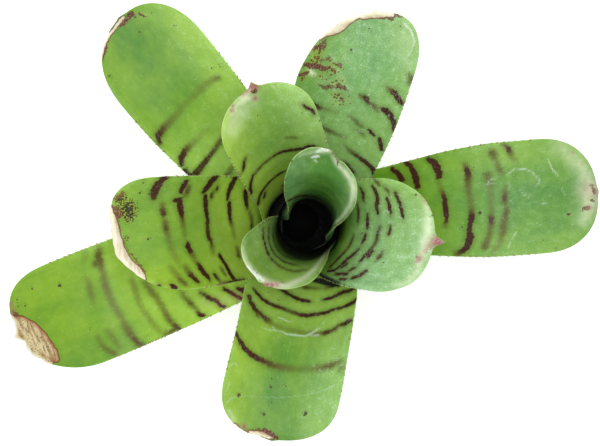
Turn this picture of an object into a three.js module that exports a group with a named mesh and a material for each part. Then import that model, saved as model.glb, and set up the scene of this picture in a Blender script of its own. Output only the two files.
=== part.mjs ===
import * as THREE from "three";

// A half pint neoregelia, a small tank bromeliad, lifted from its pot and stood on its cut stem.
// Ten strap leaves grow from one short stem. Their broad bases wrap round each other and make the
// wall of the cup, and the blades then lean out, the older the lower and the longer.
// Millimetres, +Z up. The origin is the middle of the stem's flat foot. Angles are in degrees,
// anticlockwise from +X as seen from above. Distances of the leaves are from the growing axis.

// Driving dimensions of the stem
const FOOT_RADIUS = 8.6;
const FOOT_HEIGHT = 3;
const FOOT_CHAMFER = 0.6;
const NECK_RADIUS = 3.2;
const STEM_HEIGHT = 19;
const CROWN_HEIGHT = 2;
const STEM_SIDES = 28;

// Driving dimensions of the nested sheaths. Layer 0 is the innermost.
const LAYER_STEP = 1.25;
const SHEATH_HALF_WIDTH = 21;
const WIDEST_WRAP = 138;
const SHEATH_THICKNESS = 0.6;
const STEM_GAP = 0.7;

// The share of the sheath's width at its root, and the share of the way to the throat by which it
// has grown whole
const ROOT_SHARE = 0.6;
const GROWN_BY = 0.35;

// How far the growing axis leans aside, in X and Y, and the heights between which it does
const CUP_LEAN = [2.2, -0.6];
const LEAN_START = 12;
const LEAN_END = 50;

// Driving dimensions of a blade, which leaves the cup's curve for its own gutter over a length
const PARTING_LENGTH = 14;
const MIDRIB_THICKNESS = 1.05;
const TIP_SQUARENESS = 2.3;
const TOOTH_HEIGHT = 0.6;
const POINT_HALF_WIDTH = 4.5;

// How finely a leaf is faceted
const SHEATH_ROWS = 8;
const BLADE_ROWS = 17;
const CURVE_STEPS = 400;

// Each leaf, from the innermost: the azimuth of its midrib at the cup and how far that swerves by
// the tip; the midrib's [distance from the axis, height] beyond the throat; how far beyond the
// throat it hugs the cup and how far it keeps its sheath's width; its width at the waist and at its
// widest; the radius of its gutter at the cup, the middle and the tip; how much shorter its left
// side ends than its right; the depth of its tip's rounding; and the length of its point.
const LEAVES = [
  {
    name: "leaf_01", azimuth: 63.1, swerve: 8.4, columns: 14,
    path: [[7.8, 58], [9.2, 73], [12, 84.7], [15.6, 89.6]],
    hug: 1.8, clasp: 4, waist: 25.4, width: 20.7, gutter: [5.5, 6, 10.7],
    slant: -6, rounding: 8.8, point: 0.6,
  },
  {
    name: "leaf_02", azimuth: 246.1, swerve: -17.6, columns: 14,
    path: [[9.4, 57], [10.4, 70], [15, 77.4], [19.2, 83.7]],
    hug: 4.1, clasp: 4, waist: 24.7, width: 22.5, gutter: [7.2, 7.8, 13.9],
    slant: 6, rounding: 8, point: 1,
  },
  {
    name: "leaf_03", azimuth: -15.1, swerve: 7.7, columns: 14,
    path: [[10.2, 56], [17.2, 69], [24.2, 76.5], [30.1, 80]],
    hug: 6, clasp: 14, waist: 25, width: 29, gutter: [14, 20, 30],
    slant: 0.5, rounding: 14.5, point: 1.8,
  },
  {
    name: "leaf_04", azimuth: 109.9, swerve: 2.5, columns: 14,
    path: [[14.7, 56], [20, 69], [26.6, 79.5], [34.8, 85.5]],
    hug: 6, clasp: 14, waist: 23.5, width: 24.8, gutter: [15, 17, 24],
    slant: 1, rounding: 10.5, point: 1.3,
  },
  {
    name: "leaf_05", azimuth: 183.2, swerve: 0.9, columns: 14,
    path: [[19.6, 52], [31.1, 69], [50.5, 77]],
    hug: 4, clasp: 14, waist: 27, width: 28.6, gutter: [18, 26, 40],
    slant: 7.5, rounding: 14, point: 0.4,
  },
  {
    name: "leaf_06", azimuth: 264.5, swerve: -4.3, columns: 12,
    path: [[18.5, 46], [33.6, 62], [54.4, 66]],
    hug: 3, clasp: 14, waist: 31.1, width: 29.8, gutter: [20, 26, 40],
    slant: 1.1, rounding: 12.2, point: 0.4,
  },
  {
    name: "leaf_07", azimuth: 72.2, swerve: 0.8, columns: 12,
    path: [[19.8, 46], [35.3, 65], [59.1, 73.5]],
    hug: 3, clasp: 14, waist: 24.6, width: 28, gutter: [21, 30, 50],
    slant: 11.2, rounding: 17.5, point: 0.4,
  },
  {
    name: "leaf_08", azimuth: 137, swerve: -4.4, columns: 12,
    path: [[24, 41], [44, 56], [70.8, 59]],
    hug: 3, clasp: 14, waist: 24.2, width: 27.8, gutter: [22, 32, 60],
    slant: 1.2, rounding: 17.5, point: 0.4,
  },
  {
    name: "leaf_09", azimuth: 9.3, swerve: -2.8, columns: 12,
    path: [[20.9, 39], [45.9, 52], [74.6, 50]],
    hug: 3, clasp: 14, waist: 23, width: 29.4, gutter: [24, 40, 80],
    slant: -0.3, rounding: 15.8, point: 0.4,
  },
  {
    name: "leaf_10", azimuth: 199.8, swerve: 1.3, columns: 12,
    path: [[25.8, 37], [52.8, 50], [83.4, 46]],
    hug: 3, clasp: 14, waist: 28.4, width: 29.2, gutter: [24, 40, 80],
    slant: 6.8, rounding: 17.5, point: 1.5,
  },
];

const toRadians = THREE.MathUtils.degToRad;
const smooth = THREE.MathUtils.smoothstep;
const mix = THREE.MathUtils.lerp;

// The stem's radius at a height: a straight foot, and a cone above it.
function stemRadius(z) {
  const risen = Math.max(0, (z - FOOT_HEIGHT) / (STEM_HEIGHT - FOOT_HEIGHT));
  return mix(FOOT_RADIUS, NECK_RADIUS, risen);
}

// The sheath's midrib from the stem to the throat, as [distance from the axis, height].
function sheathPath(layer) {
  const out = layer * LAYER_STEP;
  const rootHeight = 15.5 - 1.3 * layer;
  return [
    [stemRadius(rootHeight) + STEM_GAP, rootHeight],
    [6.6 + out, 18.2 - 1.4 * layer],
    [8.4 + out, 25 - 1.5 * layer],
    [6.8 + out, 42 - 1.7 * layer],
  ];
}

// A value that goes from the cup through the middle of the blade to its tip.
function threeStage(values, share) {
  return share < 0.5
    ? mix(values[0], values[1], smooth(share, 0, 0.5))
    : mix(values[1], values[2], smooth(share, 0.5, 1));
}

// The leaf's middle surface: at(along, across) gives the point that lies `along` millimetres up
// the midrib from the root and `across` millimetres to its side.
function leafSurface(leaf, layer) {
  const stations = [...sheathPath(layer), ...leaf.path];
  const line = new THREE.CatmullRomCurve3(
    stations.map(([r, z]) => new THREE.Vector3(r, 0, z)), false, "catmullrom", 0.5);
  line.arcLengthDivisions = CURVE_STEPS;
  const lengths = line.getLengths();
  const length = lengths[CURVE_STEPS];
  const throat = lengths[Math.round((CURVE_STEPS * 3) / (stations.length - 1))];
  const shareOf = (along) => Math.min(1, Math.max(0, (along - throat) / (length - throat)));

  function midrib(along) {
    const inside = Math.min(1, Math.max(0, along / length));
    const p = line.getPointAt(inside);
    p.addScaledVector(line.getTangentAt(inside), along - inside * length);
    const azimuth = toRadians(leaf.azimuth + leaf.swerve * smooth(shareOf(along), 0, 1));
    return { radius: p.x, height: p.z, azimuth };
  }
  function place({ radius, height, azimuth }) {
    const lean = smooth(height, LEAN_START, LEAN_END);
    const x = CUP_LEAN[0] * lean + radius * Math.cos(azimuth);
    const y = CUP_LEAN[1] * lean + radius * Math.sin(azimuth);
    return new THREE.Vector3(x, y, height);
  }
  function halfWidth(along) {
    const blade = mix(leaf.waist, leaf.width, smooth(shareOf(along), 0.1, 0.65)) / 2;
    const grown = smooth(along, 0, throat * GROWN_BY);
    const sheath = SHEATH_HALF_WIDTH * mix(ROOT_SHARE, 1, grown);
    const wide = mix(sheath, blade, smooth(along, throat * 0.7, throat + leaf.clasp));
    return Math.min(wide, midrib(along).radius * toRadians(WIDEST_WRAP));
  }
  function at(along, across) {
    const here = midrib(along);
    const turned = here.azimuth + across / here.radius;
    const onCup = place({ ...here, azimuth: turned });
    const share = shareOf(along);
    const away = smooth(along - throat - leaf.hug, 0, PARTING_LENGTH);
    if (away === 0) return onCup;
    const step = 0.5;
    const middle = place(here);
    const forward = place(midrib(along + step)).sub(place(midrib(along - step))).normalize();
    const sideways = new THREE.Vector3(-Math.sin(here.azimuth), Math.cos(here.azimuth), 0);
    sideways.addScaledVector(forward, -sideways.dot(forward)).normalize();
    const inward = forward.clone().cross(sideways);
    const radius = threeStage(leaf.gutter, share);
    const turn = across / radius;
    const onBlade = middle
      .addScaledVector(sideways, radius * Math.sin(turn))
      .addScaledVector(inward, radius * (1 - Math.cos(turn)));
    return onCup.lerp(onBlade, away);
  }
  return { at, halfWidth, length, throat, shareOf };
}

// How far short of the tip a line along the blade ends, at a share of the half width.
function tipShortfall(leaf, share) {
  const round = Math.pow(1 - Math.pow(Math.abs(share), TIP_SQUARENESS), 1 / TIP_SQUARENESS);
  return leaf.rounding * (1 - round);
}

// A closed blade: two like faces, a rim, and a small forward tooth on each edge of the rim.
function leafGeometry(leaf, layer) {
  const surface = leafSurface(leaf, layer);
  const rows = SHEATH_ROWS + BLADE_ROWS;
  const upper = [];
  const lower = [];
  const middle = [];
  for (let i = 0; i <= rows; i++) {
    const onSheath = i <= SHEATH_ROWS;
    const plain = onSheath
      ? (surface.throat * i) / SHEATH_ROWS
      : mix(surface.throat, surface.length, (i - SHEATH_ROWS) / BLADE_ROWS);
    const curved = smooth(plain, surface.length - 2.6 * leaf.rounding, surface.length);
    const bunched = smooth(plain, surface.throat, surface.length - leaf.rounding);
    for (let j = 0; j <= leaf.columns; j++) {
      const even = mix(-1, 1, j / leaf.columns);
      const share = mix(even, Math.sin((Math.PI / 2) * even), bunched);
      const shortfall = tipShortfall(leaf, share) + (leaf.slant * (1 + share)) / 2;
      const along = plain - shortfall * curved;
      const across = share * surface.halfWidth(along);
      const pointShare = Math.max(0, 1 - Math.abs(across) / POINT_HALF_WIDTH);
      const reached = along + leaf.point * pointShare * (i === rows ? 1 : 0);
      const step = 0.4;
      const p = surface.at(reached, across);
      const ahead = surface.at(reached + step, across).sub(surface.at(reached - step, across));
      const aside = surface.at(reached, across + step).sub(surface.at(reached, across - step));
      const normal = ahead.cross(aside).normalize();
      const blade = surface.shareOf(along) * (1 - share * share);
      const half = mix(SHEATH_THICKNESS, MIDRIB_THICKNESS, blade) / 2;
      middle.push(p);
      upper.push(p.clone().addScaledVector(normal, half));
      lower.push(p.clone().addScaledVector(normal, -half));
    }
  }
  const positions = [];
  const face = (a, b, c) => positions.push(...a.toArray(), ...b.toArray(), ...c.toArray());
  const index = (i, j) => i * (leaf.columns + 1) + j;
  for (let i = 0; i < rows; i++) {
    for (let j = 0; j < leaf.columns; j++) {
      const [a, b] = [index(i, j), index(i, j + 1)];
      const [c, d] = [index(i + 1, j + 1), index(i + 1, j)];
      face(upper[a], upper[c], upper[b]);
      face(upper[a], upper[d], upper[c]);
      face(lower[a], lower[b], lower[c]);
      face(lower[a], lower[c], lower[d]);
    }
  }
  // The rim runs anticlockwise round the upper face. An edge of the blade carries a tooth, whose
  // apex leans towards the tip.
  const rim = [];
  for (let j = 0; j < leaf.columns; j++) rim.push([index(0, j), index(0, j + 1), 0]);
  for (let i = 0; i < rows; i++) {
    const tooth = i >= SHEATH_ROWS + 1 ? 1 : 0;
    rim.push([index(i, leaf.columns), index(i + 1, leaf.columns), tooth]);
    rim.push([index(i + 1, 0), index(i, 0), -tooth]);
  }
  for (let j = 0; j < leaf.columns; j++) {
    const way = j < leaf.columns / 2 ? 1 : -1;
    rim.push([index(rows, j + 1), index(rows, j), -way]);
  }
  for (const [a, b, tooth] of rim) {
    if (tooth === 0) {
      face(upper[a], lower[b], lower[a]);
      face(upper[a], upper[b], lower[b]);
      continue;
    }
    const along = middle[b].clone().sub(middle[a]);
    const up = upper[a].clone().sub(lower[a]);
    const outward = along.clone().cross(up).normalize();
    const apex = middle[a].clone().addScaledVector(along, tooth > 0 ? 0.8 : 0.2);
    apex.addScaledVector(outward, TOOTH_HEIGHT);
    face(lower[a], upper[a], apex);
    face(lower[b], lower[a], apex);
    face(upper[b], lower[b], apex);
    face(upper[a], upper[b], apex);
  }
  const geometry = new THREE.BufferGeometry();
  geometry.setAttribute("position", new THREE.Float32BufferAttribute(positions, 3));
  geometry.computeVertexNormals();
  return geometry;
}

// The short woody stem: a flat cut foot and a cone that the sheaths stand round.
function stemGeometry() {
  const profile = [
    new THREE.Vector2(0, 0),
    new THREE.Vector2(FOOT_RADIUS - FOOT_CHAMFER, 0),
    new THREE.Vector2(FOOT_RADIUS, FOOT_CHAMFER),
    new THREE.Vector2(FOOT_RADIUS, FOOT_HEIGHT),
    new THREE.Vector2(NECK_RADIUS, STEM_HEIGHT),
    new THREE.Vector2(0, STEM_HEIGHT + CROWN_HEIGHT),
  ];
  return new THREE.LatheGeometry(profile, STEM_SIDES).rotateX(Math.PI / 2);
}

const leafMaterial = new THREE.MeshStandardMaterial({ color: 0x7fb043, roughness: 0.45, metalness: 0 });
const stemMaterial = new THREE.MeshStandardMaterial({ color: 0x7a5a3a, roughness: 0.9, metalness: 0 });

function named(name, geometry, material) {
  const mesh = new THREE.Mesh(geometry, material);
  mesh.name = name;
  return mesh;
}

const plant = new THREE.Group();
plant.add(named("stem", stemGeometry(), stemMaterial));
LEAVES.forEach((leaf, layer) => plant.add(named(leaf.name, leafGeometry(leaf, layer), leafMaterial)));

export default plant;
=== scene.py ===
import math
import random

import bmesh
import bpy
import numpy as np
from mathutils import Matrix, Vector, noise


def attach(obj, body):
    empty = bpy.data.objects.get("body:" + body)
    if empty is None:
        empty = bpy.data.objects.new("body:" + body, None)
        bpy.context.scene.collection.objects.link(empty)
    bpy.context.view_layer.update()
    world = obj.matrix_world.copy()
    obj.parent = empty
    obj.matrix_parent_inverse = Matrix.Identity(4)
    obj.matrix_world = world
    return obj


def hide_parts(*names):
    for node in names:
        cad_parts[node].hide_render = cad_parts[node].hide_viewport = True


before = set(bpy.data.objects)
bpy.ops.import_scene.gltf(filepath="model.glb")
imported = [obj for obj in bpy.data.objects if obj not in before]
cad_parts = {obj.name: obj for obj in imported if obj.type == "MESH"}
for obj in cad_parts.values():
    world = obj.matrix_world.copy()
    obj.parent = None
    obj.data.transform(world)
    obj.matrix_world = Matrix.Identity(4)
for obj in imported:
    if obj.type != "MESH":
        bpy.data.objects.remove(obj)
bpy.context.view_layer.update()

MM = 0.001    # everything below is in millimetres until it is multiplied by this
FOOT_RADIUS = 8.6
CONE_START = 3
CONE_TOP_RADIUS = 3.2
STEM_HEIGHT = 19.0
SCAR_STEP = 1.6
SCAR_RING = 0.28
SCAR_DEPTH = 0.3
OUTLINE_STEP = 0.2
STEPS_ROUND = 96
ROUGHNESS = ((900, 0.12), (2600, 0.06))    # cycles a metre, and how far they stand out
BLOTCHES_A_METRE = 420.0    # one to 2.4 mm
FIBRES_A_METRE = 2600.0    # coarser than real fibres, so that they show
BARK = "#6b4a2e"
BARK_DARK = "#3a2617"
CUT_PITH = "#b79a6a"
SHADE_AND_SODDEN_BLACK = "#070a06"


def linear(code):
    """An sRGB hex colour as the linear RGBA that a shader takes."""
    parts = [int(code[i:i + 2], 16) / 255 for i in (1, 3, 5)]
    return [c / 12.92 if c <= 0.04045 else ((c + 0.055) / 1.055) ** 2.4 for c in parts] + [1.0]


def node(tree, kind, sockets=None, **settings):
    """Adds a node with its settings, and fills its sockets with values, nodes or their outputs."""
    made = tree.nodes.new(kind)
    for name, value in settings.items():
        setattr(made, name, value)
    for socket, value in (sockets or {}).items():
        if isinstance(value, bpy.types.Node):
            value = next(output for output in value.outputs if output.enabled)
        if isinstance(value, bpy.types.NodeSocket):
            tree.links.new(value, made.inputs[socket])
        else:
            made.inputs[socket].default_value = value
    return made


def begin_material(name):
    """A new material, its node tree, and the sockets of its shader."""
    material = bpy.data.materials.new(name)
    material.use_nodes = True
    tree = material.node_tree
    return material, tree, tree.nodes["Principled BSDF"].inputs


def stem_radius(z):
    climbed = max(z - CONE_START, 0)
    return FOOT_RADIUS + (CONE_TOP_RADIUS - FOOT_RADIUS) * climbed / (STEM_HEIGHT - CONE_START)


def turn_stem():
    """Spins the stem's outline, with a low ring at each leaf scar, then roughens the bark."""
    turned = bmesh.new()
    outline = [(0.0, 0.0), (3.0, 0.0), (FOOT_RADIUS - 0.6, 0.0), (FOOT_RADIUS - 0.15, 0.45)]
    z = 0.8
    while z < STEM_HEIGHT - 0.4:
        ring = SCAR_RING * abs(math.sin(math.pi * z / SCAR_STEP)) ** 3
        outline.append((stem_radius(z) - SCAR_DEPTH + ring, z))
        z += OUTLINE_STEP
    outline.append((CONE_TOP_RADIUS - 0.5, STEM_HEIGHT + 0.4))
    outline += [(1.2, STEM_HEIGHT + 1.6), (0.0, STEM_HEIGHT + 1.9)]
    points = [turned.verts.new((r * MM, 0, z * MM)) for r, z in outline]
    edges = [turned.edges.new(pair) for pair in zip(points, points[1:])]
    bmesh.ops.spin(turned, geom=points + edges, cent=(0, 0, 0), axis=(0, 0, 1), angle=2 * math.pi,
                   steps=STEPS_ROUND, use_merge=True)
    bmesh.ops.remove_doubles(turned, verts=turned.verts[:], dist=1e-6)
    bmesh.ops.recalc_face_normals(turned, faces=turned.faces[:])
    for v in turned.verts:
        out = Vector((v.co.x, v.co.y, 0))
        if v.co.z > 0.4 * MM and out.length > 1 * MM:
            rough = sum(noise.noise(v.co * cycles) * height for cycles, height in ROUGHNESS) - 0.1
            v.co += out.normalized() * rough * MM
    mesh = bpy.data.meshes.new("stem_turned")
    turned.to_mesh(mesh)
    turned.free()
    mesh.shade_smooth()
    return mesh


def corky_bark():
    """Corky bark: dull brown, darker in the scars, black up the cone where painted shade of the
    deep cup lies on bark soaked by its standing water, and a paler fibrous face where it was cut.
    The eye gets no shine from it at all."""
    material, tree, shader = begin_material("corky_bark")
    place = node(tree, "ShaderNodeTexCoord").outputs["Object"]
    height = node(tree, "ShaderNodeSeparateXYZ", {0: place}).outputs["Z"]
    blotch = node(tree, "ShaderNodeTexNoise",
                  {"Vector": place, "Scale": BLOTCHES_A_METRE, "Detail": 6.0})
    fibre = node(tree, "ShaderNodeTexNoise",
                 {"Vector": place, "Scale": FIBRES_A_METRE, "Detail": 3.0})
    wave = node(tree, "ShaderNodeMath", {0: height, 1: math.pi / (SCAR_STEP * MM)},
                operation="MULTIPLY")
    for operation in ("SINE", "ABSOLUTE"):
        wave = node(tree, "ShaderNodeMath", {0: wave}, operation=operation)
    scar = node(tree, "ShaderNodeMapRange", {0: wave, 1: 0.0, 2: 0.5, 3: 0.75, 4: 0.0})
    cut = node(tree, "ShaderNodeMapRange", {0: height, 1: 0.2 * MM, 2: 0.4 * MM, 3: 1.0, 4: 0.0})
    # Painted shade of the deep cup, with soaked bark: black from 6 to 10 mm up and above
    shade_and_sodden = node(tree, "ShaderNodeMapRange", {0: height, 1: 6 * MM, 2: 10 * MM})
    pith = node(tree, "ShaderNodeMix", {0: fibre, 6: linear(BARK), 7: linear(CUT_PITH)},
                data_type="RGBA")
    colour = linear(BARK_DARK)
    for amount, coat in ((blotch, linear(BARK)), (scar, linear(BARK_DARK)), (cut, pith),
                         (shade_and_sodden, linear(SHADE_AND_SODDEN_BLACK))):
        colour = node(tree, "ShaderNodeMix", {0: amount, 6: colour, 7: coat}, data_type="RGBA")
    relief = node(tree, "ShaderNodeBump", {"Height": fibre, "Distance": 0.2 * MM, "Strength": 0.7})
    tree.links.new(colour.outputs[2], shader["Base Color"])
    tree.links.new(relief.outputs[0], shader["Normal"])
    shader["Roughness"].default_value = 0.95
    shader["IOR"].default_value = 1.2
    return material


stem = bpy.data.objects.new("stem_dressed", turn_stem())
bpy.context.scene.collection.objects.link(stem)
stem.data.materials.append(corky_bark())
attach(stem, "root")
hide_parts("stem")

# The leaves: how one is made
# A leaf is one sheet of living tissue, about 1 mm thick at the midrib and thinner at its edge. Its
# broad sheath wraps the cup and its blade leans out as a shallow gutter, with a spine every few mm.
# Lengths are millimetres: `along` is up the midrib from the root, `across` is anticlockwise of it.
LAYER_STEP = 1.25
STEM_GAP = 0.7
ROOT_HEIGHT, ROOT_DROP = 15.5, 1.3
# The first sheath's radii, their heights, and how much lower each has them in every leaf outwards
SHEATH_KNOTS = ((6.6, 18.2, 1.4), (8.4, 25, 1.5), (6.8, 42, 1.7))
MIDRIB_STEPS = 400
CUP_LEAN = (2.2, -0.6)    # how far the growing axis leans over as it climbs
LEAN_HEIGHTS = (12.0, 50.0)
SHEATH_HALF_WIDTH = 21.0
ROOT_SHARE = 0.6
WIDEST_WRAP = math.radians(138)
PARTING_LENGTH = 14.0
SHEATH_THICKNESS = 0.6
MIDRIB_THICKNESS = 1.05
EDGE_SHARE = 0.25
TIP_SQUARENESS = 2.3
TIP_TUCK = 0.12
POINT_HALF_WIDTH = 2.2
COLUMNS = 72
SHEATH_ROWS = 30
BLADE_ROW = 0.4
RIPPLE_HEIGHT, RIPPLE_LENGTH = 0.16, 11.0
WRINKLE_HEIGHT, WRINKLE_LENGTH = 0.12, 3.4
FRAY_LENGTH = 3.6
SPECK_REACH = 0.9
SPINE_STEP = 2.7
SPINE_LENGTH = 0.85
SPINE_RADII = (0.22, 0.02)    # at its base and at its tip
SPINE_LEAN = 1.1
FIRST_SPINE, FIRST_CUP_SPINE = 4, 24    # past the throat, and above the cup's dark wall, painted shade with staining
NO_MARK_WITHIN = 6.0
PATTERN_STEP, OUTSIDE_SHIFT = 61.0, 170.0    # so that no two faces share a stretch of noise
SPECKLES_A_METRE = 900.0


def smooth(x, low, high):
    t = np.clip((x - low) / (high - low), 0.0, 1.0)
    return t * t * (3.0 - 2.0 * t)


def mix(a, b, share):
    return a + (b - a) * share


def ripple(x, y, wavelength, seed):
    """A smooth unevenness between about -1 and 1, of a given wavelength in millimetres."""
    dice = np.random.default_rng(seed)
    total = 0.0
    for _ in range(7):
        turn, phase = dice.uniform(0, 2 * math.pi, 2)
        k = 2 * math.pi / (wavelength * dice.uniform(0.6, 1.6))
        total = total + np.sin(k * (x * math.cos(turn) + y * math.sin(turn)) + phase)
    return total / 3.5


class LeafForm:
    """The middle surface of a leaf. Layer counts the leaves outwards from the cup's middle. A leaf
    points to its azimuth and swerves from it by the tip, in degrees. Path is its midrib above the
    cup, as distances from the axis and heights. It hugs the cup's wall a little past the throat
    and narrows to its waist over its clasp. Gutter gives the radius of its trough at the cup, in
    the middle and at the tip, and slant, rounding and point shape its end."""

    def __init__(self, layer, azimuth, swerve, path, hug, clasp, waist, width, gutter,
                 slant, rounding, point):
        self.layer, self.azimuth, self.swerve = layer, azimuth, swerve
        self.hug, self.clasp, self.waist, self.width = hug, clasp, waist, width
        self.gutter, self.slant, self.rounding, self.point = gutter, slant, rounding, point
        root = ROOT_HEIGHT - ROOT_DROP * layer
        sheath = [(stem_radius(root) + STEM_GAP, root)]
        sheath += [(radius + layer * LAYER_STEP, height - drop * layer)
                   for radius, height, drop in SHEATH_KNOTS]
        knots = np.array(sheath + path, float)
        spans = len(knots) - 1
        ends = np.vstack([2 * knots[0] - knots[1], knots, 2 * knots[-1] - knots[-2]])
        t = np.linspace(0, spans, MIDRIB_STEPS + 1)
        k = np.minimum(t.astype(int), spans - 1)
        u = (t - k)[:, None]
        start, leave = ends[k + 1], (ends[k + 2] - ends[k]) / 2
        stop, arrive = ends[k + 2], (ends[k + 3] - ends[k + 1]) / 2
        self.line = (start + leave * u + (3 * (stop - start) - 2 * leave - arrive) * u**2
                     + (2 * (start - stop) + leave + arrive) * u**3)
        steps = np.hypot(*np.diff(self.line, axis=0).T)
        self.run = np.concatenate([[0.0], np.cumsum(steps)])
        self.length = self.run[-1]
        self.throat = self.run[round(MIDRIB_STEPS * len(SHEATH_KNOTS) / spans)]

    def share(self, along):
        return np.clip((along - self.throat) / (self.length - self.throat), 0.0, 1.0)

    def midrib(self, along):
        inside = np.clip(along, 0.0, self.length)
        root = (self.line[1] - self.line[0]) / self.run[1]
        tip = (self.line[-1] - self.line[-2]) / (self.run[-1] - self.run[-2])
        slope = np.where((along > inside)[..., None], tip, root) * (along - inside)[..., None]
        radius = np.interp(inside, self.run, self.line[:, 0]) + slope[..., 0]
        height = np.interp(inside, self.run, self.line[:, 1]) + slope[..., 1]
        swerved = self.azimuth + self.swerve * smooth(self.share(along), 0, 1)
        return radius, height, np.radians(swerved)

    def half_width(self, along):
        blade = mix(self.waist, self.width, smooth(self.share(along), 0.1, 0.65)) / 2
        rooted = smooth(along, 0, self.throat * 0.35)
        sheath = SHEATH_HALF_WIDTH * mix(ROOT_SHARE, 1, rooted)
        freed = smooth(along, self.throat * 0.7, self.throat + self.clasp)
        return np.minimum(mix(sheath, blade, freed), self.midrib(along)[0] * WIDEST_WRAP)

    def at(self, along, across):
        def place(radius, height, turn):
            lean = smooth(height, *LEAN_HEIGHTS)
            x = CUP_LEAN[0] * lean + radius * np.cos(turn)
            return np.stack([x, CUP_LEAN[1] * lean + radius * np.sin(turn), height], -1)

        radius, height, turn = self.midrib(along)
        on_cup = place(radius, height, turn + across / radius)
        forward = place(*self.midrib(along + 0.5)) - place(*self.midrib(along - 0.5))
        forward /= np.linalg.norm(forward, axis=-1, keepdims=True)
        sideways = np.stack([-np.sin(turn), np.cos(turn), 0 * turn], -1)
        sideways -= forward * (sideways * forward).sum(-1, keepdims=True)
        sideways /= np.linalg.norm(sideways, axis=-1, keepdims=True)
        inward = np.cross(forward, sideways)
        cup, middle, tip = self.gutter
        share = self.share(along)
        early = mix(cup, middle, smooth(share, 0, 0.5))
        late = mix(middle, tip, smooth(share, 0.5, 1))
        bow = np.where(share < 0.5, early, late)[..., None]
        bend = across[..., None] / bow
        on_blade = (place(radius, height, turn) + sideways * bow * np.sin(bend)
                    + inward * bow * (1 - np.cos(bend)))
        away = smooth(along - self.throat - self.hug, 0, PARTING_LENGTH)[..., None]
        return on_cup + (on_blade - on_cup) * away

    def shortfall(self, plain, share):
        """How far short of the midrib's own end a line along the blade stays, near the tip."""
        squared = np.minimum(np.abs(share), 1) ** TIP_SQUARENESS
        round_end = (1 - squared) ** (1 / TIP_SQUARENESS)
        short = self.rounding * (1 - round_end) + self.slant * (1 + share) / 2
        return short * smooth(plain, self.length - 2.6 * self.rounding, self.length)

    def facing(self, along, across):
        ahead = self.at(along + 0.4, across) - self.at(along - 0.4, across)
        aside = self.at(along, across + 0.4) - self.at(along, across - 0.4)
        normal = np.cross(ahead, aside)
        return normal / np.linalg.norm(normal, axis=-1, keepdims=True)


def pieces(across, along, strokes):
    """For each straight piece of the strokes, or each single dot: how far every vertex lies from
    it, and the half width and the ink of the stroke there. A stroke is a list of points, each
    (across, along, half width, ink)."""
    for stroke in strokes:
        for (ax, ay, aw, ai), (bx, by, bw, bi) in zip(stroke, stroke[1:] or stroke):
            dx, dy = bx - ax, by - ay
            t = ((across - ax) * dx + (along - ay) * dy) / max(dx * dx + dy * dy, 1e-6)
            t = np.clip(t, 0, 1)
            away = np.hypot(across - ax - t * dx, along - ay - t * dy)
            yield away, mix(aw, bw, t), mix(ai, bi, t)


def nearest(across, along, strokes):
    """The distance to the edge of the nearest stroke, below zero inside it, and its ink there."""
    edge, ink = np.full(across.shape, NO_MARK_WITHIN), np.zeros(across.shape)
    for away, half_width, here in pieces(across, along, strokes):
        closer = away - half_width < edge
        edge[closer], ink[closer] = (away - half_width)[closer], here[closer]
    return edge, ink


def washes(across, along, strokes):
    """Soft-edged strokes, whose widths are how far they reach, as a strength from 0 to 1."""
    total = np.zeros(across.shape)
    for away, reach, strength in pieces(across, along, strokes):
        total = np.maximum(total, strength * np.exp(-(away / reach) * (away / reach)))
    return total


def patches(across, along, spots):
    return washes(across, along, [[spot] for spot in spots])


def sheath_bands(form, first, seed):
    """The bands that the cup hides, every 5 to 8 mm from the root up to the first one noted."""
    dice = random.Random(seed)
    strokes, y = [], 5.0
    while y < first - 4:
        half = float(form.half_width(np.array(y)))
        start, stop = dice.uniform(-1.0, -0.6), dice.uniform(0.6, 1.0)
        drift, stroke = dice.uniform(-1, 1), []
        for step in range(9):
            x = mix(start, stop, step / 8) * half
            wide = dice.uniform(0.3, 0.75) * (0.4 if step in (0, 8) else 1)
            height = y + drift * x / half + dice.uniform(-0.5, 0.5)
            stroke.append((x, height, wide, dice.uniform(0.55, 0.95)))
        strokes += [stroke[:5], stroke[5:]] if dice.random() < 0.4 else [stroke]
        y += dice.uniform(5, 8)
    return strokes


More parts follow.
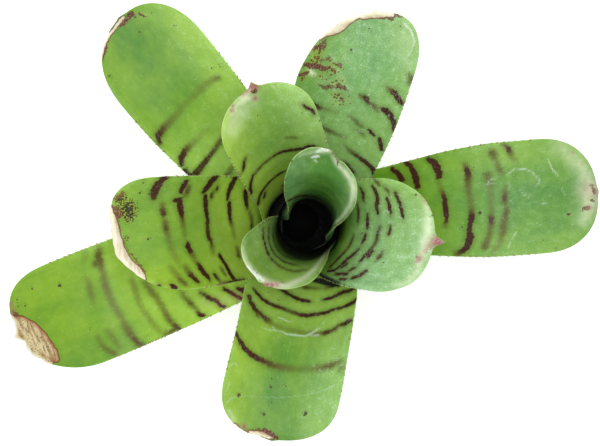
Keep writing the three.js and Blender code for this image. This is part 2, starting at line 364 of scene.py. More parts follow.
def grow_leaf(name, form, lime, veil, foot, fray, bands=(), scars=(), specks=(), dry=(), scurf=(),
              pale=(), blush=(), rust=(), shade_and_stain_strokes=(), shade_and_stain_heights=None, notches=(), thorn=(0, 1, 0), tan=0.5,
              mould=0.0):
    """Shapes one leaf as a closed sheet, notes its markings as attributes, and sets its spines.

    Lime and veil, from 0 to 1, are its yellowness and its whitish veil, each clockwise of the
    midrib, on it and anticlockwise; how they change from side to side is partly painted light, a
    glow where light shines through and a sheen where it glances off. Foot gives both near the cup,
    lighter there partly as painted light against the cup's shade. Bands, scars, dry, scurf, pale
    and the staining marks are strokes; pale is partly painted light on lit lips and rims, and the
    staining marks are painted shade where leaves part over the dark, with real staining. Blush and
    rust are single dots of them, and specks are (across, along, radius). A notch is (across, half
    width, depth) and the thorn at the tip (across, half width, length). The heights given for a
    leaf of the cup's wall are where it turns from near black to clean, painted shade of the deep
    cup with the staining of its water; a leaf without them has its inner face darkened so below its
    neck. Tan and mould colour what is dry and what is rusty."""
    layer = form.layer
    slab = bmesh.new()
    blade_rows = round((form.length - form.throat) / BLADE_ROW)
    rows = SHEATH_ROWS + blade_rows
    bmesh.ops.create_grid(slab, x_segments=COLUMNS, y_segments=rows, size=1)
    raised = bmesh.ops.extrude_face_region(slab, geom=slab.faces[:])["geom"]
    bmesh.ops.translate(slab, vec=(0, 0, 1),
                        verts=[part for part in raised if isinstance(part, bmesh.types.BMVert)])
    flat = np.array([v.co for v in slab.verts])
    row = (flat[:, 1] + 1) / 2 * rows
    upper = flat[:, 2] > 0.5

    # From a row and column to the way along and across, with the end's round, points and tears
    plain = np.where(row <= SHEATH_ROWS, form.throat * row / SHEATH_ROWS,
                     mix(form.throat, form.length, (row - SHEATH_ROWS) / blade_rows))
    bunched = smooth(plain, form.throat, form.length - form.rounding)
    share = mix(flat[:, 0], np.sin(math.pi / 2 * flat[:, 0]), bunched)
    along = plain - form.shortfall(plain, share)
    across = share * form.half_width(along)
    last = smooth(plain, form.length - 5, form.length)
    along -= TIP_TUCK * last
    along += form.point * np.maximum(0, 1 - np.abs(across) / POINT_HALF_WIDTH) ** 1.5 * last
    middle, half, reach = thorn
    along += reach * np.maximum(0, 1 - np.abs(across - middle) / half) ** 1.3 * last
    torn = smooth(-nearest(across, along, dry)[0], -1.0, 0.3)
    torn *= smooth(plain, form.length - 2, form.length)
    ragged = ripple(across, 0 * across, FRAY_LENGTH, layer + 40)
    along -= fray * torn * np.maximum(0, ragged + 0.3)
    for middle, half, depth in notches:
        bitten = np.exp(-((across - middle) / half) ** 2)
        along -= depth * bitten * smooth(plain, form.length - 6, form.length)
    to_side = (1 - np.abs(share)) * form.half_width(along)
    to_rim = np.where(row < SHEATH_ROWS, to_side, np.minimum(to_side, form.length - plain))

    # The markings, noted on the tissue in millimetres
    bands = list(bands)
    first = min((point[1] for stroke in bands for point in stroke), default=46.0)
    to_band, band_ink = nearest(across, along, bands + sheath_bands(form, first, layer))
    to_scar, scar_ink = nearest(across, along, scars)
    to_dead, _ = nearest(across, along, dry)
    to_scurf, scurf_ink = nearest(across, along, scurf)
    flour = scurf_ink * smooth(-to_scurf, -0.35, 0.1)
    # Tones: partly painted light, limer where light shines through one side and whiter where sheen
    # glances off the other, and lifted near the cup against its shade
    sideward = smooth(np.abs(share), 0.1, 0.9)
    outward = smooth(form.share(along), 0.25, 0.7)
    lime_and_glow, veil_and_sheen = (
        mix(near, mix(tone[1], np.where(share < 0, tone[0], tone[2]), sideward), outward)
        for near, tone in zip(foot, (lime, veil)))
    # Painted shade of the deep cup, with its water's staining: near black below the neck, and along
    # strokes where leaves part over the dark
    neck = form.midrib(np.array(form.throat))[1]
    shade_and_stain = 1 - smooth(form.at(along, across)[:, 2], *(shade_and_stain_heights or (neck - 8, neck + 2)))
    if shade_and_stain_strokes:
        to_shade_and_stain, blackness = nearest(across, along, shade_and_stain_strokes)
        shade_and_stain = np.maximum(shade_and_stain, blackness * smooth(-to_shade_and_stain, -0.6, 0.2))
    speck = np.full((len(flat), 3), 9.0)
    for x, y, size in specks:
        dx, dy = across - x, along - y
        here = np.hypot(dx, dy) < np.minimum(SPECK_REACH, np.hypot(speck[:, 0], speck[:, 1]))
        speck[here] = np.stack([dx, dy, np.full(len(flat), size)], -1)[here]

    # Into place: an even, faintly rippled sheet that thins towards its edge and wrinkles where dry
    normal = form.facing(along, across)
    full = mix(SHEATH_THICKNESS, MIDRIB_THICKNESS, form.share(along) * (1 - share * share))
    full *= mix(EDGE_SHARE, 1.0, smooth(to_rim, 0, 1.5))
    loose = smooth(form.share(along), 0.15, 0.5)
    wave = RIPPLE_HEIGHT * ripple(across, along, RIPPLE_LENGTH, layer) * loose
    wrinkles = ripple(across * 0.4, along, WRINKLE_LENGTH, layer + 20)
    wave += WRINKLE_HEIGHT * wrinkles * smooth(-to_dead, -0.6, 0.4)
    place = form.at(along, across) + normal * (np.where(upper, 0.5, -0.5) * full + wave)[:, None]
    for v, p in zip(slab.verts, place):
        v.co = p * MM
    bmesh.ops.recalc_face_normals(slab, faces=slab.faces[:])

    # Spines along both edges, leaning towards the tip
    leaf_verts = len(slab.verts)
    dice = random.Random(layer + 7)
    for side in (-1, 1):
        y = form.throat + (FIRST_CUP_SPINE if shade_and_stain_heights else FIRST_SPINE)
        while y < form.length - 3:
            edge = 0.999 * side
            near = y - form.shortfall(y, edge)
            ahead = y + 0.6 - form.shortfall(y + 0.6, edge)
            base = form.at(near, edge * form.half_width(near))
            nose = form.at(ahead, edge * form.half_width(ahead))
            inner = form.at(near, 0.95 * edge * form.half_width(near))
            out = Vector(base - inner).normalized()
            lean = (out + SPINE_LEAN * Vector(nose - base).normalized()).normalized()
            size = dice.uniform(0.75, 1.15)
            cone = bmesh.ops.create_cone(
                slab, cap_ends=True, segments=6, radius1=SPINE_RADII[0] * size * MM,
                radius2=SPINE_RADII[1] * MM, depth=SPINE_LENGTH * size * MM)["verts"]
            bmesh.ops.rotate(slab, verts=cone, cent=(0, 0, 0),
                             matrix=lean.to_track_quat("Z", "Y").to_matrix())
            seat = Vector(base) + lean * SPINE_LENGTH * size * 0.35 - out * 0.15
            bmesh.ops.translate(slab, verts=cone, vec=seat * MM)
            for face in {face for v in cone for face in v.link_faces}:
                face.material_index = 1
            y += SPINE_STEP * dice.uniform(0.75, 1.25)

    mesh = bpy.data.meshes.new(name + "_grown")
    slab.to_mesh(mesh)
    spines = len(slab.verts) - leaf_verts
    slab.free()
    mesh.shade_smooth()
    none = 0 * along
    notes = {
        "blade": (across + PATTERN_STEP * layer, along + np.where(upper, 0.0, OUTSIDE_SHIFT), none),
        "edges": (to_band, to_scar, to_dead),
        "inks": (band_ink, scar_ink, flour),
        "tones": (lime_and_glow, veil_and_sheen, patches(across, along, blush)),
        "age": (to_rim, patches(across, along, rust), 1 - smooth(along, 2, form.throat + 2)),
        "speck": speck.T,
        "side": (np.where(upper, 1.0, 0.0), tan + none, mould + none),
        "soft": (washes(across, along, pale), np.where(upper | bool(shade_and_stain_heights), shade_and_stain, 0.0), none),
    }
    for key, values in notes.items():
        packed = np.vstack([np.stack(values, -1), np.full((spines, 3), 9.0)]).astype(np.float32)
        noted = mesh.attributes.new(key, "FLOAT_VECTOR", "POINT")
        noted.data.foreach_set("vector", packed.ravel())
    leaf = bpy.data.objects.new(name + "_dressed", mesh)
    bpy.context.scene.collection.objects.link(leaf)
    leaf.data.materials.append(tissue)
    leaf.data.materials.append(spine_horn)
    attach(leaf, "root")
    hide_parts(name)


def leaf_tissue():
    """Living bromeliad leaf: waxy green tissue under pale scurf, with maroon bands, a light edge,
    lengthwise veins, and papery tan where it has died. The eye gets a satin sheen, not a gloss."""
    material, tree, shader = begin_material("satin_leaf_tissue")

    # What the mesh notes, by name: distances in millimetres, and amounts from 0 to 1
    vectors, amount = {}, {}
    for note, names in (
            ("blade", ()), ("edges", ("to_band", "to_scar", "to_dead")),
            ("inks", ("band_ink", "scar_ink", "flour_ink")), ("tones", ("lime", "veil", "blush")),
            ("age", ("to_rim", "rust", "rootward")), ("side", ("upper", "tan", "mouldy")),
            ("soft", ("pale", "shade_and_stain")), ("speck", ("speck_x", "speck_y", "speck_size"))):
        vectors[note] = node(tree, "ShaderNodeAttribute", attribute_name=note).outputs["Vector"]
        parts = node(tree, "ShaderNodeSeparateXYZ", {0: vectors[note]}).outputs
        amount.update(zip(names, parts))
    offset = node(tree, "ShaderNodeVectorMath", {0: vectors["speck"], 1: (1, 1, 0)},
                  operation="MULTIPLY")
    amount["to_speck"] = node(tree, "ShaderNodeVectorMath", {0: offset}, operation="LENGTH")

    # Noises on the leaf's own across and along: how each is stretched, cycles a millimetre, detail
    for grain, stretch, cycles, detail in (
            ("cloud", (1, 0.6), 0.16, 4.0), ("mottle", (1, 0.8), 0.55, 3.0),
            ("vein", (1, 0.03), 1.6, 2.0), ("grit", (1, 1), 2.2, 3.0),
            ("fuzz", (1, 0.45), 1.3, 3.0), ("powder", (1, 1), 4.2, 1.5),
            ("fold", (0.22, 1.1), 1.0, 3.0), ("curl", (1, 1), 0.75, 1.0)):
        drawn = node(tree, "ShaderNodeVectorMath", {0: vectors["blade"], 1: (*stretch, 1.0)},
                     operation="MULTIPLY")
        amount[grain] = node(tree, "ShaderNodeTexNoise",
                             {"Vector": drawn, "Scale": cycles, "Detail": detail},
                             noise_dimensions="2D")
        amount[grain + "_swing"] = node(tree, "ShaderNodeMath", {0: amount[grain], 1: 0.5},
                                        operation="SUBTRACT")
    for dots, cycles in (("dot", 1.2), ("fleck", 0.9)):
        cells = node(tree, "ShaderNodeTexVoronoi", {"Vector": vectors["blade"], "Scale": cycles},
                     voronoi_dimensions="2D")
        amount["to_" + dots] = cells.outputs["Distance"]
        amount[dots + "_chance"] = node(tree, "ShaderNodeSeparateColor",
                                        {0: cells.outputs["Color"]}).outputs[0]

    def worked_out(term):
        """A number as it is, a name's amount, or the node that does an operation on more terms.
        SMOOTHSTEP eases the first from 0 to 1, or between the last two, across the next two."""
        if not isinstance(term, tuple):
            return amount.get(term, term)
        operation, *parts = term
        sockets = {socket: worked_out(part) for socket, part in enumerate(parts)}
        if operation == "SMOOTHSTEP":
            return node(tree, "ShaderNodeMapRange", sockets, interpolation_type=operation)
        return node(tree, "ShaderNodeMath", sockets, operation=operation)

    # How much there is of each marking, as a name, an operation and its terms
    for name, *formula in (
            # Green, from deep green to lime, clouded and barely streaked by its veins; its lime is
            # partly painted light, the glow where light shines through
            ("clouded", "MULTIPLY_ADD", "cloud_swing", 0.42, "lime"),
            ("limeness", "MULTIPLY_ADD", "mottle_swing", 0.2, "clouded"),
            ("streaks", "SMOOTHSTEP", "vein", 0.50, 0.75, 0, 0.06),
            # A whitish bloom over the green, more on its outside and partly painted sheen, and pale
            # patches, partly painted light on lit lips and rims
            ("bloom_and_sheen", "MULTIPLY_ADD", ("SUBTRACT", 1, "upper"), 0.2, "veil"),
            ("bloom_and_sheen_film", "MULTIPLY", "bloom_and_sheen", ("SMOOTHSTEP", "mottle", 0.3, 0.65, 0.8, 1.1)),
            ("pale_and_lit_patches", "MULTIPLY", "pale", ("SMOOTHSTEP", "mottle", 0.3, 0.6, 0.8, 1)),
            # The light edge, and the sheath's colour fading to tan at its root
            ("rim", "MULTIPLY_ADD", "fuzz_swing", 0.5, "to_rim"),
            ("light_rim", "SMOOTHSTEP", "rim", 0.26, 0, 0, 0.34),
            ("sheath", "SMOOTHSTEP", "rootward", 0.25, 0.95),
            ("root", "SMOOTHSTEP", "rootward", 0.90, 1),
            # Maroon bands: crisp and dark where the ink is strong, an olive smear where it is weak
            ("strong", "SMOOTHSTEP", "band_ink", 0.45, 0.9),
            ("fuzzy_edge", "MULTIPLY_ADD", "fuzz_swing", 0.9, ("SUBTRACT", "to_band", 0.16)),
            ("ragged", "MULTIPLY_ADD", "vein_swing", 0.3, "fuzzy_edge"),
            ("filled", "SMOOTHSTEP", "ragged", ("MULTIPLY_ADD", "strong", -0.55, 0.80),
             ("MULTIPLY_ADD", "strong", 0.40, -0.60)),
            ("inked", "MULTIPLY", ("SMOOTHSTEP", "band_ink", 0, 0.8, 0.1, 1),
             ("SMOOTHSTEP", "grit", 0.15, 0.5, 0.8, 1.05)),
            ("band", "MULTIPLY", "filled", "inked"),
            ("halo", "MULTIPLY", ("SMOOTHSTEP", "ragged", 1.5, 0.1, 0, 0.38),
             ("SMOOTHSTEP", "band_ink", 0, 0.8)),
            ("deep_ink", "SMOOTHSTEP", "band_ink", 0.40, 0.90),
            # Pink blush, and rust: round dots, or blotches of mould where the leaf is mouldy
            ("pink", "MULTIPLY", "blush", ("SMOOTHSTEP", "grit", 0.25, 0.5, 0.5, 1)),
            ("dot_size", "MULTIPLY", ("SUBTRACT", ("MULTIPLY", "rust", 1.3), "dot_chance"), 0.62),
            ("dots", "MULTIPLY", ("SMOOTHSTEP", ("SUBTRACT", "to_dot", "dot_size"), 0.04, -0.06),
             ("SMOOTHSTEP", "dot_size", 0, 0.06)),
            ("rust_dots", "MULTIPLY", "dots", ("SUBTRACT", 1, "mouldy")),
            ("blotches", "SMOOTHSTEP", ("MULTIPLY_ADD", "rust", 0.34, "grit"), 0.60, 0.74),
            ("mould", "MULTIPLY", ("MULTIPLY", "blotches", "mouldy"),
             ("SMOOTHSTEP", "rust", 0.08, 0.25)),
            ("yellowed", "MULTIPLY", ("SMOOTHSTEP", "rust", 0.1, 0.8),
             ("MULTIPLY_ADD", "mouldy", 0.3, 0.2)),
            # Brown scars with crumbling edges, and small dark specks
            ("fuzzy_scar", "MULTIPLY_ADD", "fuzz_swing", 1.1, "to_scar"),
            ("torn_scar", "MULTIPLY_ADD", "grit_swing", 0.8, "fuzzy_scar"),
            ("scar", "MULTIPLY", ("SMOOTHSTEP", "torn_scar", 0.12, -0.12), "scar_ink"),
            ("crumbs", "SMOOTHSTEP", "grit", 0.55, 0.68),
            ("off_speck", "SUBTRACT", "to_speck", ("MULTIPLY", "speck_size", 0.9)),
            ("speck", "SMOOTHSTEP", "off_speck", 0.10, -0.08, 0, 0.92),
            # White powder over it all: fine dust, flecks, curled hairs and hard-water strokes
            ("dusty", "ADD", "bloom_and_sheen", 0.02),
            ("dust", "MULTIPLY", ("MULTIPLY", ("SMOOTHSTEP", "powder", 0.54, 0.74), "dusty"),
             ("MULTIPLY_ADD", "band", -0.5, 1)),
            ("flecks", "MULTIPLY", ("SMOOTHSTEP", "to_fleck", 0.14, 0.03),
             ("SMOOTHSTEP", "fleck_chance", 0.92, 1.06)),
            ("fleck_white", "MULTIPLY", "flecks", 0.6),
            ("curls", "MULTIPLY", ("SMOOTHSTEP", ("ABSOLUTE", "curl_swing"), 0.03, 0.006),
             ("SMOOTHSTEP", "mottle", 0.48, 0.60)),
            ("hairs", "MULTIPLY", "curls", "dusty"),
            ("flour", "MULTIPLY", ("SMOOTHSTEP", "flour_ink", 0.05, 0.85),
             ("SMOOTHSTEP", "powder", 0.34, 0.58, 0.15, 1)),
            # Dead tissue: paper, red-brown next to the living leaf and lightest at the rim
            ("torn", "MULTIPLY_ADD", "fuzz_swing", 0.45, "to_dead"),
            ("dead", "SMOOTHSTEP", "torn", 0.06, -0.06),
            ("folds", "SMOOTHSTEP", "fold", 0.44, 0.62, 0, 0.75),
            ("soot", "MULTIPLY", ("SMOOTHSTEP", "grit", 0.58, 0.68, 0, 0.8), "tan"),
            ("flushed", "MULTIPLY", ("SMOOTHSTEP", "torn", -1.5, 0),
             ("MULTIPLY_ADD", "tan", 0.6, 0.3)),
            ("paper_rim", "SMOOTHSTEP", "rim", 1.2, 0.2, 0, 0.8),
            ("line", "MULTIPLY", ("SMOOTHSTEP", "torn", 0.26, 0.06),
             ("SMOOTHSTEP", "torn", -0.26, -0.05)),
            ("border", "MULTIPLY", "line", 0.8),
            # Waxy satin where alive, dull where dusted or dead, with its veins just felt
            ("dulled", "MULTIPLY_ADD", "dead", 0.4, ("MULTIPLY_ADD", "bloom_and_sheen_film", 0.25, 0.50)),
            ("dull", "MULTIPLY_ADD", "flour", 0.25, "dulled"),
            ("veined", "MULTIPLY_ADD", "vein", 0.4, ("MULTIPLY", "mottle", 0.5)),
            ("creased", "MULTIPLY_ADD", ("MULTIPLY", "dead", "fold"), 1.6, "veined"),
            ("height", "MULTIPLY_ADD", "flecks", 0.4, "creased")):
        amount[name] = worked_out(tuple(formula))

    # The colours: each one's ground, and the coats laid over it in turn, with how much of each
    paints = {}
    for name, ground, coats in (
            ("band pigment", "#5b4f19", (("#3d120a", "deep_ink"),)),
            ("scab", "#5a2917", (("#6b4414", "mouldy"), ("#977361", "crumbs"))),
            ("creased paper", "#d8cfa8", (("#957a4e", "tan"),)),
            ("paper", "#efecd4", (
                ("#d3c397", "tan"), ("creased paper", "folds"), ("#4a3b28", "soot"),
                ("#9c6a48", "flushed"), ("#f3ecd6", "paper_rim"))),
            ("leaf", "#488226", (
                ("#a8cb22", "limeness"), ("#2f5a20", "streaks"), ("#b8ecb0", "bloom_and_sheen_film"),
                ("#e2edc6", "pale_and_lit_patches"), ("#cfdf9a", "light_rim"), ("#b9b27a", "sheath"),
                ("#6e4d2c", "root"), ("#556a1a", "halo"), ("band pigment", "band"),
                # Painted shade of the deep cup, with the staining of its standing water, turns the
                # sheaths almost black
                ("#0b100a", "shade_and_stain"),
                ("#a83464", "pink"), ("#b3a028", "yellowed"), ("#65450f", "rust_dots"),
                ("#2c2f0c", "mould"), ("scab", "scar"), ("#3a200e", "speck"),
                ("#eef7ea", "dust"), ("#f4faf0", "fleck_white"), ("#e4f2e6", "hairs"),
                ("#eaf2ee", "flour"), ("paper", "dead"), ("#6b3319", "border")))):
        mixed = linear(ground)
        for colour, share in coats:
            coat = paints[colour] if colour in paints else linear(colour)
            mixed = node(tree, "ShaderNodeMix", {0: amount[share], 6: mixed, 7: coat},
                         data_type="RGBA")
        paints[name] = mixed

    relief = node(tree, "ShaderNodeBump",
                  {"Height": amount["height"], "Distance": 0.05 * MM, "Strength": 1.0})
    tree.links.new(paints["leaf"].outputs[2], shader["Base Color"])
    tree.links.new(amount["dull"].outputs[0], shader["Roughness"])
    tree.links.new(relief.outputs[0], shader["Normal"])
    shader["IOR"].default_value = 1.33
    shader["Subsurface Weight"].default_value = 0.2
    shader["Subsurface Radius"].default_value = (0.4, 1.0, 0.15)
    shader["Subsurface Scale"].default_value = 1 * MM
    return material


def spine_tissue():
    """Hard horn of a spine: the eye gets a little gloss, and straw with red-brown among it."""
    material, tree, shader = begin_material("horny_spine")
    place = node(tree, "ShaderNodeTexCoord").outputs["Object"]
    speckle = node(tree, "ShaderNodeTexNoise",
                   {"Vector": place, "Scale": SPECKLES_A_METRE, "Detail": 2.0})
    horn = node(tree, "ShaderNodeMix", {0: speckle, 6: linear("#5f3420"), 7: linear("#c4a878")},
                data_type="RGBA")
    tree.links.new(horn.outputs[2], shader["Base Color"])
    shader["Roughness"].default_value = 0.45
    shader["IOR"].default_value = 1.5
    return material


tissue = leaf_tissue()
spine_horn = spine_tissue()

# The first leaf
# The youngest leaf, rolled into a scoop at the top right of the cup. Blue-green inside, with a
# light flared lip on its right, a nick where the lip dried, and grey scurf rubbed off near the top.
grow_leaf(
    "leaf_01",
    LeafForm(
        layer=0, azimuth=63.1, swerve=8.4, path=[(7.8, 58), (9.2, 73), (12, 84.7), (15.6, 89.6)],
        hug=1.8, clasp=4, waist=25.4, width=20.7, gutter=(5.5, 6, 10.7),
        slant=-6, rounding=8.8, point=.6),
    lime=(.1, 0, .05), veil=(.16, .02, .14), foot=(0, .04), fray=.3,
    # Painted shade of the deep cup, with its water's staining, between these heights
    shade_and_stain_heights=(36, 66), notches=[(-1.2, 1.4, 1), (-4, 3, .6)],
    bands=[
        [(9.7, 59.3, .26, 1), (8.2, 57.8, .37, 1), (5.7, 51, .43, 1), (4.1, 44.7, .44, 1),
         (2.2, 40.6, .45, 1), (.6, 37.3, .42, 1), (-1.1, 38.1, .34, 1), (-3.1, 36.5, .23, .7)],
        [(8.5, 48.4, .16, .7), (5.4, 30.3, .2, .8), (3.1, 28.6, .2, .8), (.2, 27.4, .17, .7)],
    ],
    scars=[
        [(.3, 79.8, .32, .6), (-.8, 78.9, .5, .7), (-1.5, 78.2, .37, .7), (-1.9, 76.5, .28, .8)],
    ],
    specks=[(5.9, 65.2, .21), (2.4, 62.4, .21), (2.1, 56.1, .22), (9.9, 76.9, .34),
        (-4.7, 65.2, .12)],
    scurf=[
        [(4.5, 76.9, .32, .9), (3.7, 77.4, .48, 1), (3.2, 77.4, .34, .9)],
        [(3.8, 79.1, .25, .8), (2.8, 79.8, .37, .9), (1.6, 79.8, .32, .8)],
        [(3.7, 75.8, .21, .7), (3.1, 75.3, .14, .6)],
    ],
    # Painted light on the flared lip and rim, over its pale edge
    pale=[
        [(-.4, 78.3, .69, .5), (-1.9, 76.5, .78, .65), (-4, 75.6, .97, .8),
         (-6.2, 74.3, 1.06, .9), (-7.6, 73.1, 1.07, .9), (-8.5, 71.3, .98, .85),
         (-9, 67.5, .89, .75), (-9.1, 62.3, .72, .7), (-9.1, 55.7, .58, .6), (-8.6, 23.7, .53, .5)],
        [(7.9, 78.3, .55, .2), (5.5, 78.7, .78, .35), (3.2, 79.3, .96, .45), (.9, 79.8, .78, .5)],
    ],
    blush=[(.8, 80.3, .5, .5), (-3.5, 76.2, .3, .35), (-5.4, 75.8, .3, .35)])

# The second leaf
# It closes the cup on the lower left. Its lip flares out wide and light, with white scurf and a
# pink spine at the tip, and its sheath is held tight inside the sheath of the third leaf.
grow_leaf(
    "leaf_02",
    LeafForm(
        layer=1, azimuth=246.1, swerve=-17.6,
        path=[(9.4, 57), (10.4, 70), (15, 77.4), (19.2, 83.7)],
        hug=4.1, clasp=4, waist=24.7, width=22.5, gutter=(7.2, 7.8, 13.9),
        slant=6, rounding=8, point=1),
    lime=(.45, .45, .5), veil=(.16, .08, .12), foot=(.3, 0), fray=.3,
    # Painted shade of the deep cup, with its water's staining, between these heights
    shade_and_stain_heights=(44, 92), thorn=(2, .9, 1.2),
    bands=[
        [(-9.6, 60.4, .07, .5), (-7.8, 61.1, .13, .85), (-5.8, 61.7, .15, .9),
         (-3.9, 62.2, .13, .85), (-1.8, 62.5, .1, .7), (1.2, 62.1, .08, .6), (4.2, 61.3, .08, .6),
         (6.7, 59.7, .07, .5)],
        [(-8.8, 58, .08, .6), (-6.7, 59.3, .1, .7), (-4.2, 60.2, .12, .8), (-1.7, 60.3, .12, .8),
         (.9, 59.5, .1, .7), (3.6, 58, .08, .6)],
        [(-7.9, 54.3, .1, .7), (-5.4, 57, .12, .8), (-2.5, 57, .12, .8), (.1, 55.4, .1, .8),
         (2.5, 49.9, .09, .7)],
    ],
    scars=[
        [(10.9, 61.2, .24, .7)],
    ],
    specks=[(-2.8, 71.5, .21), (-1.8, 70.2, .21), (-1.2, 70.8, .19), (-3.1, 70.2, .14),
        (.7, 71.3, .19), (3.9, 61.2, .17), (7.1, 61.8, .14), (10.7, 60.6, .17)],
    scurf=[
        [(-4.2, 71.3, .38, .9), (-3.1, 71.3, .47, .9), (-1.5, 70.8, .52, .9), (.3, 70.3, .42, .8)],
    ],
    # Painted light on the flared lip, which catches the light from above
    pale=[
        [(-8.9, 70, .57, .4), (-7.4, 70.7, .71, .6), (-5.8, 71.2, .89, .8),
         (-3.9, 71.2, 1.08, .95), (-1.6, 71, 1.18, 1), (.3, 70.3, 1.18, 1), (1.9, 69.3, 1.18, 1),
         (3.6, 68.3, 1.14, .95), (5.4, 67.2, 1.14, .9), (6.6, 65.4, 1.19, .9),
         (7.7, 63.4, 1.15, .85), (8.6, 61.5, 1.06, .8), (9.1, 59.6, .92, .75),
         (9.4, 57.1, .78, .7), (9.9, 52.8, .64, .6), (9.5, 33, .52, .5), (11.5, 28, .42, .4)],
    ],
    blush=[(1.9, 70.6, .8, 1), (1.9, 70.5, .7, 1), (2.8, 69.2, .7, 1), (3.6, 68.2, .7, .8),
        (4.2, 66.6, .5, .6)])

# The third leaf
# A short leaf that stands up on the right. Pale blue-green with fine crosswise scurf, broken
# brown dashes, a whitish edge and a pink spine with purple stains beside it.
grow_leaf(
    "leaf_03",
    LeafForm(
        layer=2, azimuth=-15.1, swerve=7.7, path=[(10.2, 56), (17.2, 69), (24.2, 76.5), (30.1, 80)],
        hug=6, clasp=14, waist=25, width=29, gutter=(14, 20, 30),
        slant=.5, rounding=14.5, point=1.8),
    lime=(.15, .25, .5), veil=(.44, .36, .26), foot=(.2, 0), fray=.2,
    thorn=(-.2, 1.1, 1.5),
    bands=[
        [(12.6, 59.9, .29, .95), (11.3, 60.5, .5, 1), (9.7, 60.9, .55, 1), (8.2, 60.7, .37, .95)],
        [(8.2, 59.9, .29, .9), (6.9, 60.1, .5, 1), (5.7, 60.2, .29, .9)],
        [(9.3, 64, .26, .85), (8.1, 64.5, .37, .9), (6.8, 64.5, .42, .95), (5.5, 64.6, .21, .8)],
        [(10.9, 66.6, .21, .7), (9.4, 67.3, .34, .85), (8.2, 67.6, .36, .85), (6.8, 68, .39, .95),
         (4.8, 68.4, .23, .9)],
        [(12.3, 63.9, .16, .5), (11.6, 64.6, .18, .6), (10.6, 65, .16, .5)],
        [(5, 55.6, .35, .9), (3.8, 55.5, .53, 1), (2, 55.6, .37, .95)],
        [(0, 55.1, .27, .8), (-1.1, 55, .43, .9), (-2.1, 54.5, .24, .7)],
        [(2.5, 64.6, .23, .85), (1.3, 64.4, .39, .9), (.4, 64.2, .21, .7)],
        [(2.3, 60.9, .26, .5), (.8, 60.1, .45, .75), (-.8, 59.8, .42, .65), (-2.6, 59.2, .34, .6),
         (-4.2, 58.2, .34, .7), (-5.6, 57.3, .4, .9), (-6.9, 56.6, .29, .75)],
        [(-4.1, 59.3, .34, .8), (-5.1, 58.9, .42, .95), (-5.7, 58.6, .21, .7)],
        [(-4.3, 63, .31, .6), (-5.2, 62.4, .39, .75), (-6.2, 61.8, .26, .45)],
        [(11.9, 54.7, .24, .7), (10.7, 55, .43, .8), (8.7, 54.6, .27, .7)],
        [(7.4, 51.3, .24, .6), (5.4, 51.5, .35, .8), (3.3, 51.4, .27, .7)],
        [(-1, 49.9, .27, .6), (-2.9, 49.3, .32, .7), (-4.9, 48.2, .3, .7), (-7.3, 46.4, .27, .8),
         (-9.8, 45.7, .25, .8)],
        [(-4, 53.8, .37, .95), (-5.1, 52.7, .4, .9), (-5.8, 51.8, .35, .8), (-6.7, 50.7, .4, .9),
         (-7.8, 50, .43, .95), (-9.2, 49.4, .3, .9), (-10.6, 48.6, .3, .9), (-11.4, 46.3, .24, .9)],
        [(-8.3, 51.6, .3, .8), (-9, 50.5, .27, .8)],
        [(-8.7, 55.9, .27, .8), (-9.4, 54.6, .32, .8), (-10.4, 53.5, .24, .6)],
        [(-9.4, 60, .32, .7), (-10.4, 59.3, .4, .85), (-11.2, 58.1, .34, .85),
         (-11.8, 56.4, .24, .8)],
        [(-10.9, 53.9, .27, .9), (-11.3, 52.3, .35, .95), (-11.5, 50, .27, .8)],
        [(-12.4, 54.8, .21, .8), (-12.8, 52.9, .27, .8)],
        [(14.2, 61, .18, .6), (13.1, 62.2, .21, .6)],
    ],
    scars=[
        [(-4.7, 73.4, .24, .6), (-4.1, 73.1, .21, .6)],
        [(-1.1, 77.9, .28, .9), (-.8, 78.5, .28, .8)],
    ],
    specks=[(.4, 53.8, .32), (-6.6, 64.2, .24), (10.6, 72.1, .26), (5.9, 75.9, .24),
        (13.8, 50.6, .15), (13.8, 59.4, .15)],
    # Painted light on the out-turned tip
    pale=[
        [(8.4, 74.2, .71, .35), (6.2, 74.9, 1.04, .6), (3.8, 75, 1.3, .75), (1.9, 75.1, 1.42, .8),
         (0, 75, 1.42, .8), (-3, 74.5, 1.31, .75), (-5.5, 74.1, 1.07, .65), (-7.4, 74, 1.07, .6),
         (-9.6, 73.3, .95, .55), (-11.4, 71.5, .83, .5), (-12.2, 69.4, .72, .4)],
    ],
    blush=[(.8, 77.6, .8, .9), (-.2, 78.7, 1.1, 1), (0, 78.8, .7, 1), (-1.3, 76.1, 1.2, .55),
        (-2.6, 75.2, .8, .6), (-4.8, 74, .9, .85), (-5.5, 73.4, .5, .7), (10.3, 73.5, .5, .75),
        (9.3, 74.3, .6, .8), (8.5, 74.8, .4, .8), (7.2, 75.5, .3, .6), (-.2, 77.6, 1.3, 1),
        (-.2, 78.6, 1.1, 1)],
    # Painted shade with some staining, dark along this edge beside the cup
    shade_and_stain_strokes=[
        [(-13.3, 44.7, .56, 1), (-13.5, 46.6, .71, 1), (-13.8, 50, .65, 1), (-14, 53.3, .35, 1)],
    ])

